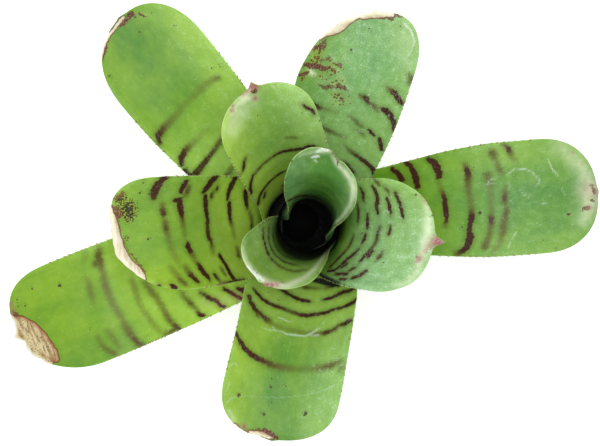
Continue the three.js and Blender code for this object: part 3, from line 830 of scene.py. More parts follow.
# The fourth leaf
# A short leaf that stands up at the top. Lime green with thin dark arcs near the cup, a whitish
# pink bloom along its left edge and a pink spine.
grow_leaf(
    "leaf_04",
    LeafForm(
        layer=3, azimuth=109.9, swerve=2.5, path=[(14.7, 56), (20, 69), (26.6, 79.5), (34.8, 85.5)],
        hug=6, clasp=14, waist=23.5, width=24.8, gutter=(15, 17, 24),
        slant=1, rounding=10.5, point=1.3),
    lime=(.7, .35, .9), veil=(.32, .1, .12), foot=(1, .1), fray=.2,
    thorn=(0, 1, .6),
    bands=[
        [(-8.7, 60.5, .29, 1), (-7.3, 60.2, .41, 1), (-5.7, 59.1, .5, 1), (-3.9, 59.1, .56, 1),
         (-2.2, 59.5, .5, 1), (-.6, 60, .44, .95), (.6, 60.2, .35, .9), (2.7, 59.8, .24, .6),
         (4.8, 59.5, .26, .6), (6.7, 58.7, .27, .65), (8.2, 57.9, .21, .6)],
        [(1.4, 48.8, .39, 1), (2.5, 48.8, .6, 1), (3.7, 48.4, .33, .6), (5.7, 48, .45, .9),
         (7.6, 47.1, .58, 1), (9.3, 46.4, .52, 1), (10.5, 45.3, .49, 1), (11.6, 42.7, .37, .95)],
        [(8.9, 58.3, .3, .8), (10.1, 56.9, .44, .95), (11.2, 54.8, .42, 1), (11.7, 51.9, .27, .9)],
        [(8.8, 67, .2, .6), (9.8, 65.5, .32, .85), (10.5, 64.2, .26, .85), (11.3, 63.4, .15, .4)],
        [(-9.8, 76, .28, .85), (-10.6, 75, .34, .9), (-11.4, 74.1, .28, .9)],
        [(-11.4, 73.2, .34, .9)],
        [(-3.1, 65.7, .29, .4), (-4.6, 65, .29, .5)],
        [(6.3, 31.4, .41, .95), (8.3, 31.9, .63, 1), (10.3, 32.4, .57, 1), (12.1, 31.3, .44, 1)],
        [(8.3, 43.9, .37, .8), (9, 42.3, .37, .8)],
        [(2.3, 39.1, .43, .5), (2, 27.9, .32, .6), (3.6, 27.9, .64, .7), (5.3, 27.9, .48, .8)],
    ],
    scars=[
        [(.5, 83.3, .37, .95), (-.2, 83.1, .54, 1), (-.5, 82.9, .28, .8)],
    ],
    specks=[(0, 56.5, .2), (4.1, 49.9, .15), (1.6, 76.8, .16), (-8.7, 74, .14)],
    scurf=[
        [(-4.3, 82.8, .26, .35), (-5, 81.4, .18, .28)],
    ],
    # Partly painted light on the out-turned, lit tip
    pale=[
        [(1.5, 83.6, 1.22, .72), (3.1, 82.7, 1.23, .81), (1.8, 82, 1.05, .72),
         (4.7, 81.9, 1.05, .63), (7.2, 80.2, .88, .54)],
        [(8.5, 79.1, .7, .36), (9.8, 76.5, .53, .27)],
        [(5, 80.5, 2.8, .45), (9, 77, 2, .4)],
        [(1.5, 81.5, 2.2, .35)],
    ],
    blush=[(2.7, 83.9, .9, 1), (1.8, 84.3, 1.1, 1), (.8, 84.7, 1.1, 1), (-.2, 84.5, 1, 1),
        (-.8, 83.6, .6, .9), (.6, 81.2, .6, 1), (6.8, 81.3, .5, 1), (6.2, 82.2, .4, 1),
        (6.2, 82.6, .5, .5)])

# The fifth leaf
# A middling leaf on the left. Mid green with thick chocolate bands broken at the midrib, and an
# end that dried to white paper behind a rusty, speckled line.
grow_leaf(
    "leaf_05",
    LeafForm(
        layer=4, azimuth=183.2, swerve=.9, path=[(19.6, 52), (31.1, 69), (50.5, 77)],
        hug=4, clasp=14, waist=27, width=28.6, gutter=(18, 26, 40),
        slant=7.5, rounding=14, point=.4),
    lime=(.4, .35, .65), veil=(.05, .03, .02), foot=(1, .1), fray=.5,
    tan=.1, mould=1, notches=[(5, 4.5, -1.3)],
    bands=[
        [(-14.3, 72, .36, .95), (-13.6, 73.1, .51, .85), (-12.1, 74.2, .76, .85),
         (-10.6, 74.8, .88, .8), (-9.4, 75.1, .6, .75)],
        [(-12.8, 67.5, .4, .9), (-11.7, 68.1, .52, .95), (-10.2, 68.4, .37, .9)],
        [(-11.4, 66.8, .37, .6), (-10.5, 66.8, .43, .7), (-9.4, 67.2, .31, .5)],
        [(-8.1, 69.7, .43, .9), (-8, 68.7, .67, .9), (-6.4, 68.4, .61, .95), (-4.9, 68, .58, .95),
         (-3.6, 67.7, .3, .7), (-1.3, 67.5, .4, .35), (1.8, 67.2, .37, .25)],
        [(-7.3, 72.9, .36, .5), (-6, 72.8, .48, .65), (-4.9, 72.6, .48, .7)],
        [(-3, 72.3, .42, .5), (-1.3, 72.2, .51, .65), (0, 72, .39, .45), (1.9, 71.6, .42, .35),
         (4.2, 71.2, .55, .3), (6.3, 70.4, .55, .25), (8.6, 69.9, .36, .2)],
        [(8.1, 72.1, .33, .3), (10.2, 71.2, .3, .4), (11.9, 70.3, .3, .6), (13, 69.4, .24, .6)],
        [(8.7, 68.6, .33, .45), (9.6, 68.1, .37, .5), (10.9, 67.6, .43, .8),
         (12.1, 66.9, .43, .95), (12.8, 66.3, .24, .9)],
        [(3.3, 66.8, .67, .9), (4.3, 66.5, .64, .9), (5.7, 65.8, .46, .5), (7.2, 65.3, .43, .35),
         (8.2, 64.7, .43, .7), (9.1, 64.4, .61, .95), (10.5, 63.7, .58, .95), (12, 63, .49, .95),
         (12.5, 63, .25, .8)],
        [(-13.8, 58.2, .59, 1), (-13.3, 59.5, .71, 1), (-12, 60.4, .9, 1), (-10.7, 61.4, .71, 1),
         (-9.9, 61.9, .37, .95)],
        [(-8.6, 60.8, .59, .9), (-6.9, 60.2, .59, .9), (-4.8, 59.6, .53, .9), (-2.7, 59, .53, .8),
         (-.5, 59.3, .56, .7), (1.5, 59.3, .56, .8), (2.6, 58.3, .37, .75), (5.2, 58.3, .68, .3)],
        [(-8.8, 58.4, .59, .7), (-10.4, 57.7, .37, .35)],
        [(-10.6, 56.6, .41, .8)],
        [(6.6, 55.8, .47, .9), (7.8, 55.1, .53, .95), (9.1, 54.5, .5, .9), (10.8, 54.3, .63, .95),
         (12.5, 54.2, .69, 1), (13.8, 53.4, .47, 1)],
        [(10.3, 56.7, .44, .5), (11.5, 56.5, .37, .5)],
        [(11.6, 60.4, .46, .8), (12.5, 60.2, .31, .7), (13.4, 59.6, .25, .5)],
        [(-13.8, 49.1, .38, 1), (-13, 50.3, .76, 1), (-11.3, 50.7, .95, 1), (-9.7, 51.2, .73, 1),
         (-8.1, 51, .51, .95)],
        [(-6.6, 50, .63, .9), (-4.6, 49.2, .7, .9), (-2.8, 48.8, .51, .85), (-.8, 47.3, .45, .4),
         (1.9, 46.8, .51, .3)],
        [(-9.9, 43.7, .61, .9), (-8, 42.7, .65, .9), (-6.1, 41.4, .52, .85), (-5, 40.6, .32, .6)],
        [(-4.1, 39.3, .45, .45), (-2.3, 37.7, .59, .5), (-.4, 37.3, .59, .5),
         (1.8, 38.1, .52, .4), (3.2, 39.3, .39, .3)],
        [(-1.4, 37.6, .39, .8), (.4, 37.8, .36, .8)],
        [(5.3, 46.6, .32, .5), (7.1, 47, .51, .6)],
        [(12.7, 72.7, .27, .9), (13.5, 72.1, .45, 1)],
        [(12.6, 75.6, .33, .9)],
        [(14.1, 58.5, .31, .6), (14, 53.5, .28, .8), (13.8, 49.2, .25, .7)],
    ],
    scars=[
        [(-8.7, 85.3, .19, .9), (-7.3, 85.2, .38, .9), (-7.2, 84.2, .72, .95),
         (-5.3, 83.6, .82, 1), (-6.3, 83.7, .72, 1)],
        [(-9.6, 84.3, .38, .8), (-10, 83.1, .48, .85), (-11, 82.3, .36, .8)],
        [(-3.9, 83.9, .29, .8), (-2.1, 83.7, .22, .7), (0, 83.4, .19, .8), (2.2, 82.4, .19, .8),
         (4.2, 81.2, .19, .85), (6.7, 79.7, .22, .85), (8.7, 78.5, .26, .9), (10.2, 78.9, .22, .8)],
    ],
    specks=[(-10.6, 78.3, .29), (.9, 76.9, .29), (-10.2, 76.1, .22), (-11.7, 72.1, .12),
        (-7.6, 47.4, .2), (-13.1, 77.5, .19), (-14.3, 67.5, .24)],
    dry=[
        [(-7.9, 85.5, .38, 1), (-6, 85.6, .86, 1), (-4.1, 85.2, 1.2, 1), (-1.9, 84.9, 1.34, 1),
         (.4, 84.5, 1.34, 1), (2.6, 84, 1.34, 1), (5.1, 83.2, 1.44, 1), (7, 81.9, 1.44, 1),
         (8.6, 80.4, 1.35, 1), (9.7, 79.3, .87, 1), (10.5, 78.7, .39, 1)],
        [(-.6, 85.3, 1.2, 1), (2.6, 84.5, 1.2, 1), (5.8, 82.8, 1.2, 1), (8.6, 80.8, .96, 1)],
    ],
    rust=[(-6.8, 81.3, 2.2, .95), (-5.6, 81.1, 1.7, .9), (-9.4, 82.9, 1.4, .85),
        (-3.9, 81.7, .8, .6), (.2, 82, .7, .7)])

# The sixth leaf
# A middling leaf at the bottom. Lime on its left and whitish on its right, with long arched
# bands, white water marks and a small dried nib at the tip.
grow_leaf(
    "leaf_06",
    LeafForm(
        layer=5, azimuth=264.5, swerve=-4.3, path=[(18.5, 46), (33.6, 62), (54.4, 66)],
        hug=3, clasp=14, waist=31.1, width=29.8, gutter=(20, 26, 40),
        slant=1.1, rounding=12.2, point=.4),
    lime=(.6, .14, .36), veil=(.06, .02, .22), foot=(.75, .14), fray=.3,
    tan=.5,
    bands=[
        [(-5.3, 42.9, .37, .8), (-4.1, 43.3, .56, 1), (-2.5, 44, .44, .85), (-1, 44.8, .56, .95),
         (.6, 45.3, .51, .9), (2.4, 45.5, .33, .8)],
        [(-12.6, 47.3, .32, .7), (-11.3, 48.3, .39, .9), (-9.6, 49.2, .44, .95),
         (-7.6, 49.6, .44, .85), (-4.9, 49.8, .44, .75), (-2.1, 50.3, .41, .59),
         (.3, 50.8, .44, .72), (2.1, 51, .5, .85), (4, 50.6, .46, .85), (5.8, 50.3, .37, .77),
         (7.5, 49.8, .44, .95), (9.3, 48.9, .32, .75), (11.4, 48.9, .32, .75),
         (13.1, 48.6, .55, .95), (14.5, 48.1, .46, 1), (15, 47.3, .28, 1)],
        [(-13.6, 50.8, .46, .9), (-12.9, 52.9, .34, .81), (-11.4, 54.4, .3, .72),
         (-9.9, 55.8, .23, .54)],
        [(-12.7, 52.4, .32, .77), (-10.9, 53.9, .43, .81), (-9.2, 55.1, .46, .68),
         (-7.7, 55.7, .77, .68), (-6.2, 56.8, .41, .36), (-2.8, 56.8, .59, .25),
         (1.2, 57.1, .54, .32), (3.8, 57.1, .36, .32), (6.1, 57, .29, .45), (8.1, 56.7, .45, .77),
         (9.6, 56.1, .36, .63), (11.3, 54.7, .3, .63), (12.9, 54.4, .55, .85),
         (14.2, 53.9, .41, .85)],
        [(-14.7, 63.4, .27, .81), (-13.6, 64.4, .29, .81), (-12.1, 65.6, .42, .85),
         (-10.2, 66.5, .49, .85), (-8.1, 67.1, .51, .85), (-5.6, 67.5, .45, .68),
         (-3.2, 67.9, .49, .59), (-.8, 67.9, .49, .45), (1.9, 67.5, .45, .38),
         (4.3, 67.1, .4, .32), (7, 66.7, .36, .41), (8.9, 66.2, .38, .54), (11, 65.5, .36, .59),
         (13.2, 64.6, .27, .45)],
        [(6.3, 44.8, .28, .75), (7.6, 44.6, .4, .9), (9.5, 44.1, .42, .9), (11.4, 43.5, .47, .9),
         (13.4, 43.8, .37, .9), (14.8, 43.4, .33, .9)],
        [(6.6, 40.4, .35, .5), (8.8, 40.4, .4, .75), (10.8, 40.5, .4, .85)],
        [(-.3, 39.1, .33, .5), (1.3, 39.8, .47, .6), (2.8, 40.1, .38, .45), (5, 40.4, .28, .35)],
        [(13.9, 65.7, .27, .45), (13.5, 66.3, .22, .36)],
    ],
    scars=[
        [(-5.3, 84.1, .25, .9), (-4, 83.7, .25, .8), (-2.5, 83.7, .49, 1), (-1.4, 84, .59, 1),
         (-.2, 84.2, .49, 1), (1.2, 85, .32, 1)],
    ],
    specks=[(-10.3, 76.7, .54), (-3.1, 79.9, .42), (-2.9, 73.1, .32), (-3.1, 71.2, .22),
        (.8, 72.1, .2), (7.1, 77.5, .49), (6.8, 78, .3), (-1.8, 76.8, .17), (-8.7, 45.7, .18),
        (-5.6, 47.3, .21)],
    dry=[
        [(-5.7, 84.8, .59, 1), (-4.2, 84.9, .79, 1), (-2.7, 84.7, .74, 1), (-1.2, 85, .59, 1),
         (.2, 85.2, .34, 1)],
        [(-9.8, 83.7, .44, 1), (-8.6, 84.3, .39, 1)],
    ],
    scurf=[
        [(-4.8, 53.6, .1, .63), (-3.5, 53.8, .13, .63), (-1.9, 54.4, .09, .56),
         (-1, 53.9, .08, .35)],
        [(-10.9, 55.6, .08, .24)],
        [(-8.4, 58.7, .11, .35), (-6.2, 58.8, .15, .42), (-3.7, 58.1, .11, .42),
         (-1.8, 58.5, .17, .56), (.5, 58.3, .19, .56), (3, 58.2, .19, .63), (4.3, 57.1, .21, .66),
         (5.7, 55.6, .23, .56), (6.3, 55, .15, .42)],
        [(-5.9, 57.2, .09, .49), (-4.9, 58.6, .09, .49)],
        [(4.7, 57.9, .19, .42), (6.1, 57.4, .26, .59), (6.6, 57, .11, .35)],
        [(6.7, 54.3, .11, .49), (7.1, 53.2, .11, .49)],
        [(-14.1, 70.3, .11, .42), (-13.2, 69.7, .11, .42), (-12.3, 70.1, .09, .35)],
        [(-13.4, 74.1, .09, .42), (-13.6, 76.1, .09, .35)],
        [(-13.1, 79.1, .15, .35), (-12.2, 77.7, .13, .42), (-10.5, 76.9, .09, .35),
         (-8.3, 76.5, .07, .28), (-5.7, 76.2, .06, .24), (-3.3, 75.7, .06, .28),
         (-.8, 75.3, .07, .32), (1.6, 74.7, .07, .32), (4, 73.9, .07, .28), (6.6, 72.9, .06, .24),
         (8.9, 72, .07, .28), (11.1, 70.8, .09, .35), (12.9, 69.6, .11, .42)],
        [(13.9, 59.3, .28, .21)],
        [(14.2, 68.4, .26, .28)],
    ],
    pale=[
        [(-11.9, 80.7, .52, .36), (-10.1, 82.9, .74, .32)],
    ],
    blush=[(-7.5, 83.6, .6, .9), (-6.8, 84.5, .4, .9)],
    # Painted shade: the dark gap where this leaf runs under the second and third leaves, with some
    # staining
    shade_and_stain_strokes=[
        [(3, 36.7, .53, 1), (3.9, 36.7, .84, 1), (5, 37.3, 1.05, 1), (6.5, 38.5, .84, 1),
         (8.5, 39.8, .63, 1), (10.2, 40.9, .31, 1)],
    ])

# The seventh leaf
# A middling leaf at the upper right. Pale blue-green under heavy scurf, with rusty marks along
# its left edge and a cream, papery cap at the tip.
grow_leaf(
    "leaf_07",
    LeafForm(
        layer=6, azimuth=72.2, swerve=.8, path=[(19.8, 46), (35.3, 65), (59.1, 73.5)],
        hug=3, clasp=14, waist=24.6, width=28, gutter=(21, 30, 50),
        slant=11.2, rounding=17.5, point=.4),
    lime=(.3, .08, .15), veil=(.24, .28, .08), foot=(.5, .3), fray=.3,
    tan=.1,
    bands=[
        [(-8.4, 72.9, .3, .35), (-9.8, 72.3, .43, .7), (-10.9, 72.1, .54, .95),
         (-12.4, 71.1, .51, .95), (-13.4, 70.6, .27, .9)],
        [(-2.8, 68.4, .22, .5), (-4.2, 68.1, .6, .8), (-5.3, 67.2, .33, .7),
         (-7.8, 66.4, .44, .45), (-8.4, 67.1, .33, .4)],
        [(-9.2, 67, .54, .9), (-10.4, 67.1, .71, 1), (-11.7, 66.5, .68, 1), (-13, 65.4, .6, 1),
         (-13.7, 63.1, .22, 1)],
        [(-7.8, 59, .47, .95), (-9.1, 58.4, .33, .9)],
        [(-11, 58.3, .5, 1), (-11.8, 56.7, .53, 1), (-12.4, 55.3, .28, 1)],
        [(-2.1, 60.9, .33, .35), (-3.5, 60.2, .39, .5), (-5.2, 59.2, .3, .5)],
        [(-4.2, 57.3, .28, .25), (-5.7, 57.1, .36, .55), (-6.5, 56.5, .22, .4)],
        [(8.1, 62.2, .44, .8), (6.7, 61.4, .55, .75), (5, 61.1, .44, .35), (1, 61.2, .33, .12)],
        [(4.5, 54.1, .45, .6), (2.5, 53.6, .45, .6), (.3, 53.2, .45, .45), (-2.1, 53.2, .36, .3)],
        [(-3.1, 49.4, .34, .3), (-5.1, 48.2, .51, .55), (-7.3, 47.8, .57, .75),
         (-9.5, 47.6, .62, .9), (-11.5, 47.4, .68, 1), (-12.6, 45.6, .46, 1)],
        [(-3.8, 43, .4, .4), (-5.3, 42.6, .49, .7), (-7.3, 41.5, .49, .7)],
        [(-12.9, 77.3, .27, .5), (-13.6, 76.8, .35, .7), (-13.5, 75.7, .22, .5)],
    ],
    scars=[
        [(11.8, 76.7, .39, .9), (10.9, 77.6, .59, .95), (9.6, 77.9, .63, .95),
         (9.8, 79.1, .54, .7), (9.5, 79.7, .24, .6)],
        [(13.1, 73, .39, 1), (11.7, 72.7, .64, 1), (10, 73, .64, 1), (8.1, 72.6, .64, .95),
         (7, 73.1, .39, .9), (5.4, 72.9, .25, .7)],
        [(13.6, 69.9, .44, .9), (12.6, 70.3, .54, .9), (11.5, 71, .39, .9)],
        [(9.1, 74.5, .24, .7), (7.6, 75.6, .44, .8), (6.7, 74.8, .29, .7)],
        [(5.2, 74.6, .44, .85), (4, 74.4, .44, .8)],
        [(8, 68.3, .32, .6), (6.1, 67.8, .64, .85), (5.3, 68.6, .54, .85), (3.7, 68.1, .3, .5)],
        [(3.6, 69, .49, .9), (2.2, 69.2, .59, .85), (.9, 68.6, .4, .7)],
        [(2.6, 86.8, .19, 1), (1.6, 87.7, .22, 1), (.2, 88, .34, 1), (-1.6, 88.2, .36, .9),
         (-3.4, 88.7, .31, .9), (-5, 88.8, .27, .9)],
        [(.4, 88.6, .17, 1), (-1.6, 89.2, .19, .8), (-3.8, 89.6, .29, .9), (-5.4, 90, .44, .9),
         (-6.8, 90.2, .24, 1)],
        [(2.6, 88.2, .19, .9), (3.4, 87.6, .24, .9), (3.3, 86.7, .19, .8)],
    ],
    specks=[(2.7, 78.9, .37), (0, 85.1, .24), (-7.2, 87.8, .17)],
    dry=[
        [(3.6, 87.5, .97, 1), (2.4, 88.3, 1.57, 1), (.7, 89.3, 1.81, 1), (-1.1, 89.9, 1.81, 1),
         (-2.9, 90.1, 1.35, 1), (-4.3, 89.9, .73, 1)],
        [(10.9, 79.5, .29, 1), (9.8, 80.9, .58, 1), (8.4, 82, .97, 1), (6.8, 83.4, 1.07, 1),
         (5.9, 84.8, 1.02, 1), (4.7, 86.3, .92, 1), (3.8, 87.3, .73, 1)],
    ],
    scurf=[
        [(4, 83.7, .09, .35)],
        [(-1.5, 82.8, .09, .35)],
        [(-8.2, 81, .09, .35)],
        [(1.1, 85.3, .09, .28)],
        [(-4.8, 82.5, .07, .28)],
        [(-7.8, 88.8, .22, .49), (-10, 87.6, .18, .56), (-11.7, 85.4, .16, .49),
         (-11.4, 82.3, .15, .42), (-10.3, 80.4, .11, .28)],
    ],
    pale=[
        [(11.1, 71.3, .81, .9), (9.9, 70.8, .55, .9)],
        [(-9, 86, 3, .2), (-11.5, 80, 2.6, .15)],
    ],
    rust=[(6.2, 73.3, 2.7, .8), (2.4, 65.9, 2.7, .9), (10.5, 76.4, 2, .9), (12.8, 70.1, 2, .8),
        (3.4, 69.6, 3.2, .7), (10.4, 74.5, 2, .9), (7.9, 70.8, 2.5, .6), (-.7, 65.8, 1.7, .5)])

# The eighth leaf
# A long low leaf at the upper left. Lime on its left edge and duller along its middle, with soft
# bands that fade out at the midrib and a brown nib and white strip at the tip.
grow_leaf(
    "leaf_08",
    LeafForm(
        layer=7, azimuth=137, swerve=-4.4, path=[(24, 41), (44, 56), (70.8, 59)],
        hug=3, clasp=14, waist=24.2, width=27.8, gutter=(22, 32, 60),
        slant=1.2, rounding=17.5, point=.4),
    lime=(.6, .16, .36), veil=(.14, 0, .02), foot=(.9, .2), fray=.3,
    tan=.15,
    bands=[
        [(12.8, 66.1, .33, .72), (11.9, 67.5, .61, .8), (9.8, 67.8, .61, .64),
         (6.8, 67.9, .53, .4), (3.6, 68.3, .5, .24), (.3, 68.7, .5, .18), (-4.1, 69, .67, .28),
         (-7.6, 69.2, .47, .34), (-9.8, 68.8, .33, .48)],
        [(12.2, 58.3, .39, .8), (11.3, 59.5, .76, .8), (9.5, 59.8, .68, .72),
         (7.3, 59.7, .51, .44), (4.4, 59.5, .45, .24), (.8, 59.6, .42, .16)],
        [(11.5, 53.4, .74, .8), (10, 53.1, .74, .68), (7.2, 53.1, .74, .72),
         (4.7, 53.2, .48, .68), (2.5, 53.6, .54, .56), (-.1, 54.1, .48, .56), (-2.9, 55, .43, .36)],
        [(12.9, 56.4, .45, .8), (12.8, 55.1, .51, .8), (12.7, 53.7, .4, .8)],
        [(6, 44.7, .29, .64), (4, 44.6, .46, .44), (1.3, 45.4, .4, .28)],
    ],
    scars=[
        [(1.5, 93.8, .23, .9), (.2, 93.7, .4, 1), (-1.5, 93.9, .5, 1), (-2.9, 94.5, .6, 1),
         (-3.2, 93.3, .5, .9)],
        [(-4.5, 93.3, .25, 1), (-4.8, 92.5, .3, 1), (-5.2, 91.4, .2, 1)],
        [(10.6, 90.2, .23, .9), (8.6, 91.3, .23, .9), (6.5, 92.7, .23, 1), (5.3, 93.6, .18, .9),
         (3.1, 94.3, .18, .9), (1.3, 94, .23, .9)],
    ],
    specks=[(-1.5, 89.6, .25), (11.5, 85.9, .28), (13.7, 73.1, .25), (-9.9, 71.6, .23),
        (-12.1, 71.3, .15), (-11.9, 70.6, .13), (-9.3, 85.3, .2), (-7, 91.2, .15),
        (-13.6, 64, .23)],
    dry=[
        [(10.6, 90.2, .25, 1), (8.9, 92, .45, 1), (6.9, 93.3, .55, 1), (4.6, 94.1, .5, 1),
         (2.7, 94.3, .4, 1), (1.1, 94.7, .55, 1), (-.9, 95, .5, .8)],
    ])

# The ninth leaf
# The long low leaf on the right. Olive near the cup and blue-green further out, with curly white
# scratches, many broken bands and a greyish pink tip.
grow_leaf(
    "leaf_09",
    LeafForm(
        layer=8, azimuth=9.3, swerve=-2.8, path=[(20.9, 39), (45.9, 52), (74.6, 50)],
        hug=3, clasp=14, waist=23, width=29.4, gutter=(24, 40, 80),
        slant=-.3, rounding=15.8, point=.4),
    lime=(.3, .05, .4), veil=(.12, .08, .12), foot=(.3, 0), fray=.25,
    bands=[
        [(10.8, 47.4, .47, .9), (9.8, 48.5, .59, 1), (7.8, 49.2, .64, 1)],
        [(12.3, 51.2, .41, .9), (11.2, 52.3, .52, .95), (9.4, 52.9, .73, .95), (7.5, 53, .76, 1),
         (5.3, 53.2, .47, 1)],
        [(12.3, 57.3, .46, 1), (11.5, 58.5, .75, 1), (9.9, 59.1, .87, 1), (7.8, 59.4, .69, 1),
         (6.9, 58.9, .35, .9)],
        [(6.6, 58.9, .4, .3), (4.5, 59, .35, .3), (2.8, 59.6, .35, .7), (1, 59.9, .55, .9),
         (-1.2, 60, .61, 1), (-3.7, 59.8, .35, .9), (-5.5, 59.4, .29, .4)],
        [(9.7, 66.4, .34, .5), (8.2, 66.7, .6, .9), (6.3, 66.6, .57, .65), (3.7, 66.3, .52, .5),
         (1.4, 66.6, .52, .4), (-1, 66.6, .46, .4), (-2.5, 66.5, .46, .6), (-3.9, 66.5, .69, .95),
         (-5.4, 66, .49, .9), (-7.6, 65.7, .52, .85), (-9, 65.9, .8, 1), (-11.1, 65.2, .69, .95),
         (-12.5, 63.9, .52, .85), (-13.2, 62.1, .46, .6)],
        [(13, 72.6, .23, .3), (12.3, 72.9, .51, .6), (9.6, 73.8, .37, .4), (7.2, 74.6, .46, .5)],
        [(14, 75.8, .23, .5), (12.9, 76.8, .43, .8), (10.7, 77.6, .34, .4), (9.1, 78.8, .23, .2)],
        [(6.3, 71.4, .69, .5), (3.8, 71.7, .54, .35), (.2, 71.9, .51, .3), (-3.1, 71.7, .4, .35),
         (-5, 71.5, .54, .8), (-7.1, 71.1, .4, .5), (-9.1, 70.7, .43, .5), (-11.9, 69.5, .57, .55)],
        [(3.4, 75.7, .34, .25), (.2, 75.2, .51, .75), (-1.9, 75.2, .34, .35),
         (-3.2, 75.4, .29, .6), (-6.3, 74.4, .63, .5), (-8.1, 74.1, .63, .55),
         (-10.9, 73.1, .4, .35), (-12.9, 71.6, .4, .3)],
    ],
    scars=[
        [(-4.4, 94.7, .36, 1), (-4.2, 95.5, .41, .9), (-4, 96.6, .51, .6)],
        [(-5.3, 91.1, .31, 1), (-4.9, 91.7, .2, 1)],
        [(-2.1, 97.9, .41, .9), (-2.5, 98.4, .26, .8)],
        [(1.9, 98, .36, .6), (0, 98.8, .51, .8)],
    ],
    specks=[(-3, 68.8, .46), (-6.3, 63.9, .23), (8.8, 68.3, .18), (-13.6, 87, .2),
        (-11.3, 83.9, .13), (6.1, 78.4, .13), (3.6, 62.4, .13)],
    scurf=[
        [(6.2, 76.2, .1, .42), (7.6, 78.2, .11, .56), (7.2, 81.1, .11, .56), (6.2, 83, .1, .42)],
        [(5.6, 83, .1, .42), (4.2, 84.5, .1, .49), (2.5, 83.3, .1, .35)],
        [(4.1, 76.4, .19, .35), (3, 76.9, .15, .35), (2.4, 76.2, .15, .28)],
        [(-.4, 76.5, .27, .28), (-1.1, 77.1, .19, .28)],
        [(9.3, 86.9, .1, .49), (6.8, 87.9, .13, .56), (4.9, 89.4, .1, .42)],
        [(-8.9, 77.2, .1, .56), (-10.6, 76, .08, .35), (-12.6, 75, .1, .49)],
        [(4.8, 71.5, .07, .49), (5.7, 72.9, .07, .49), (5.8, 74.4, .06, .42)],
        [(2.1, 79.2, .06, .42), (.8, 80.1, .07, .49), (0, 81.4, .06, .42)],
        [(-2.1, 84.3, .06, .42), (-1.7, 86, .07, .49)],
        [(-6.5, 82.6, .06, .42), (-7.7, 83.9, .07, .49)],
        [(1.3, 90.1, .06, .42), (-.4, 91.1, .07, .42)],
        [(4.7, 69, .05, .28), (4.1, 71.3, .06, .35), (4.4, 73.5, .05, .28)],
    ],
    pale=[
        [(12.1, 90.9, 1.79, .3), (8.6, 94.5, 2.31, .4), (4.5, 97, 2.57, .5), (.6, 97.6, 3.08, .7),
         (-3.4, 97.1, 2.57, .6), (-7, 95.1, 2.05, .4)],
        [(12.1, 90.3, 2.3, .32), (10.1, 91.9, 1.54, .27)],
    ],
    blush=[(.6, 97.1, 2.3, .3), (-4, 96.9, .9, .6), (10.3, 93.8, .5, .5), (7.5, 96.1, .5, .3),
        (0, 98.8, 1, .7)])

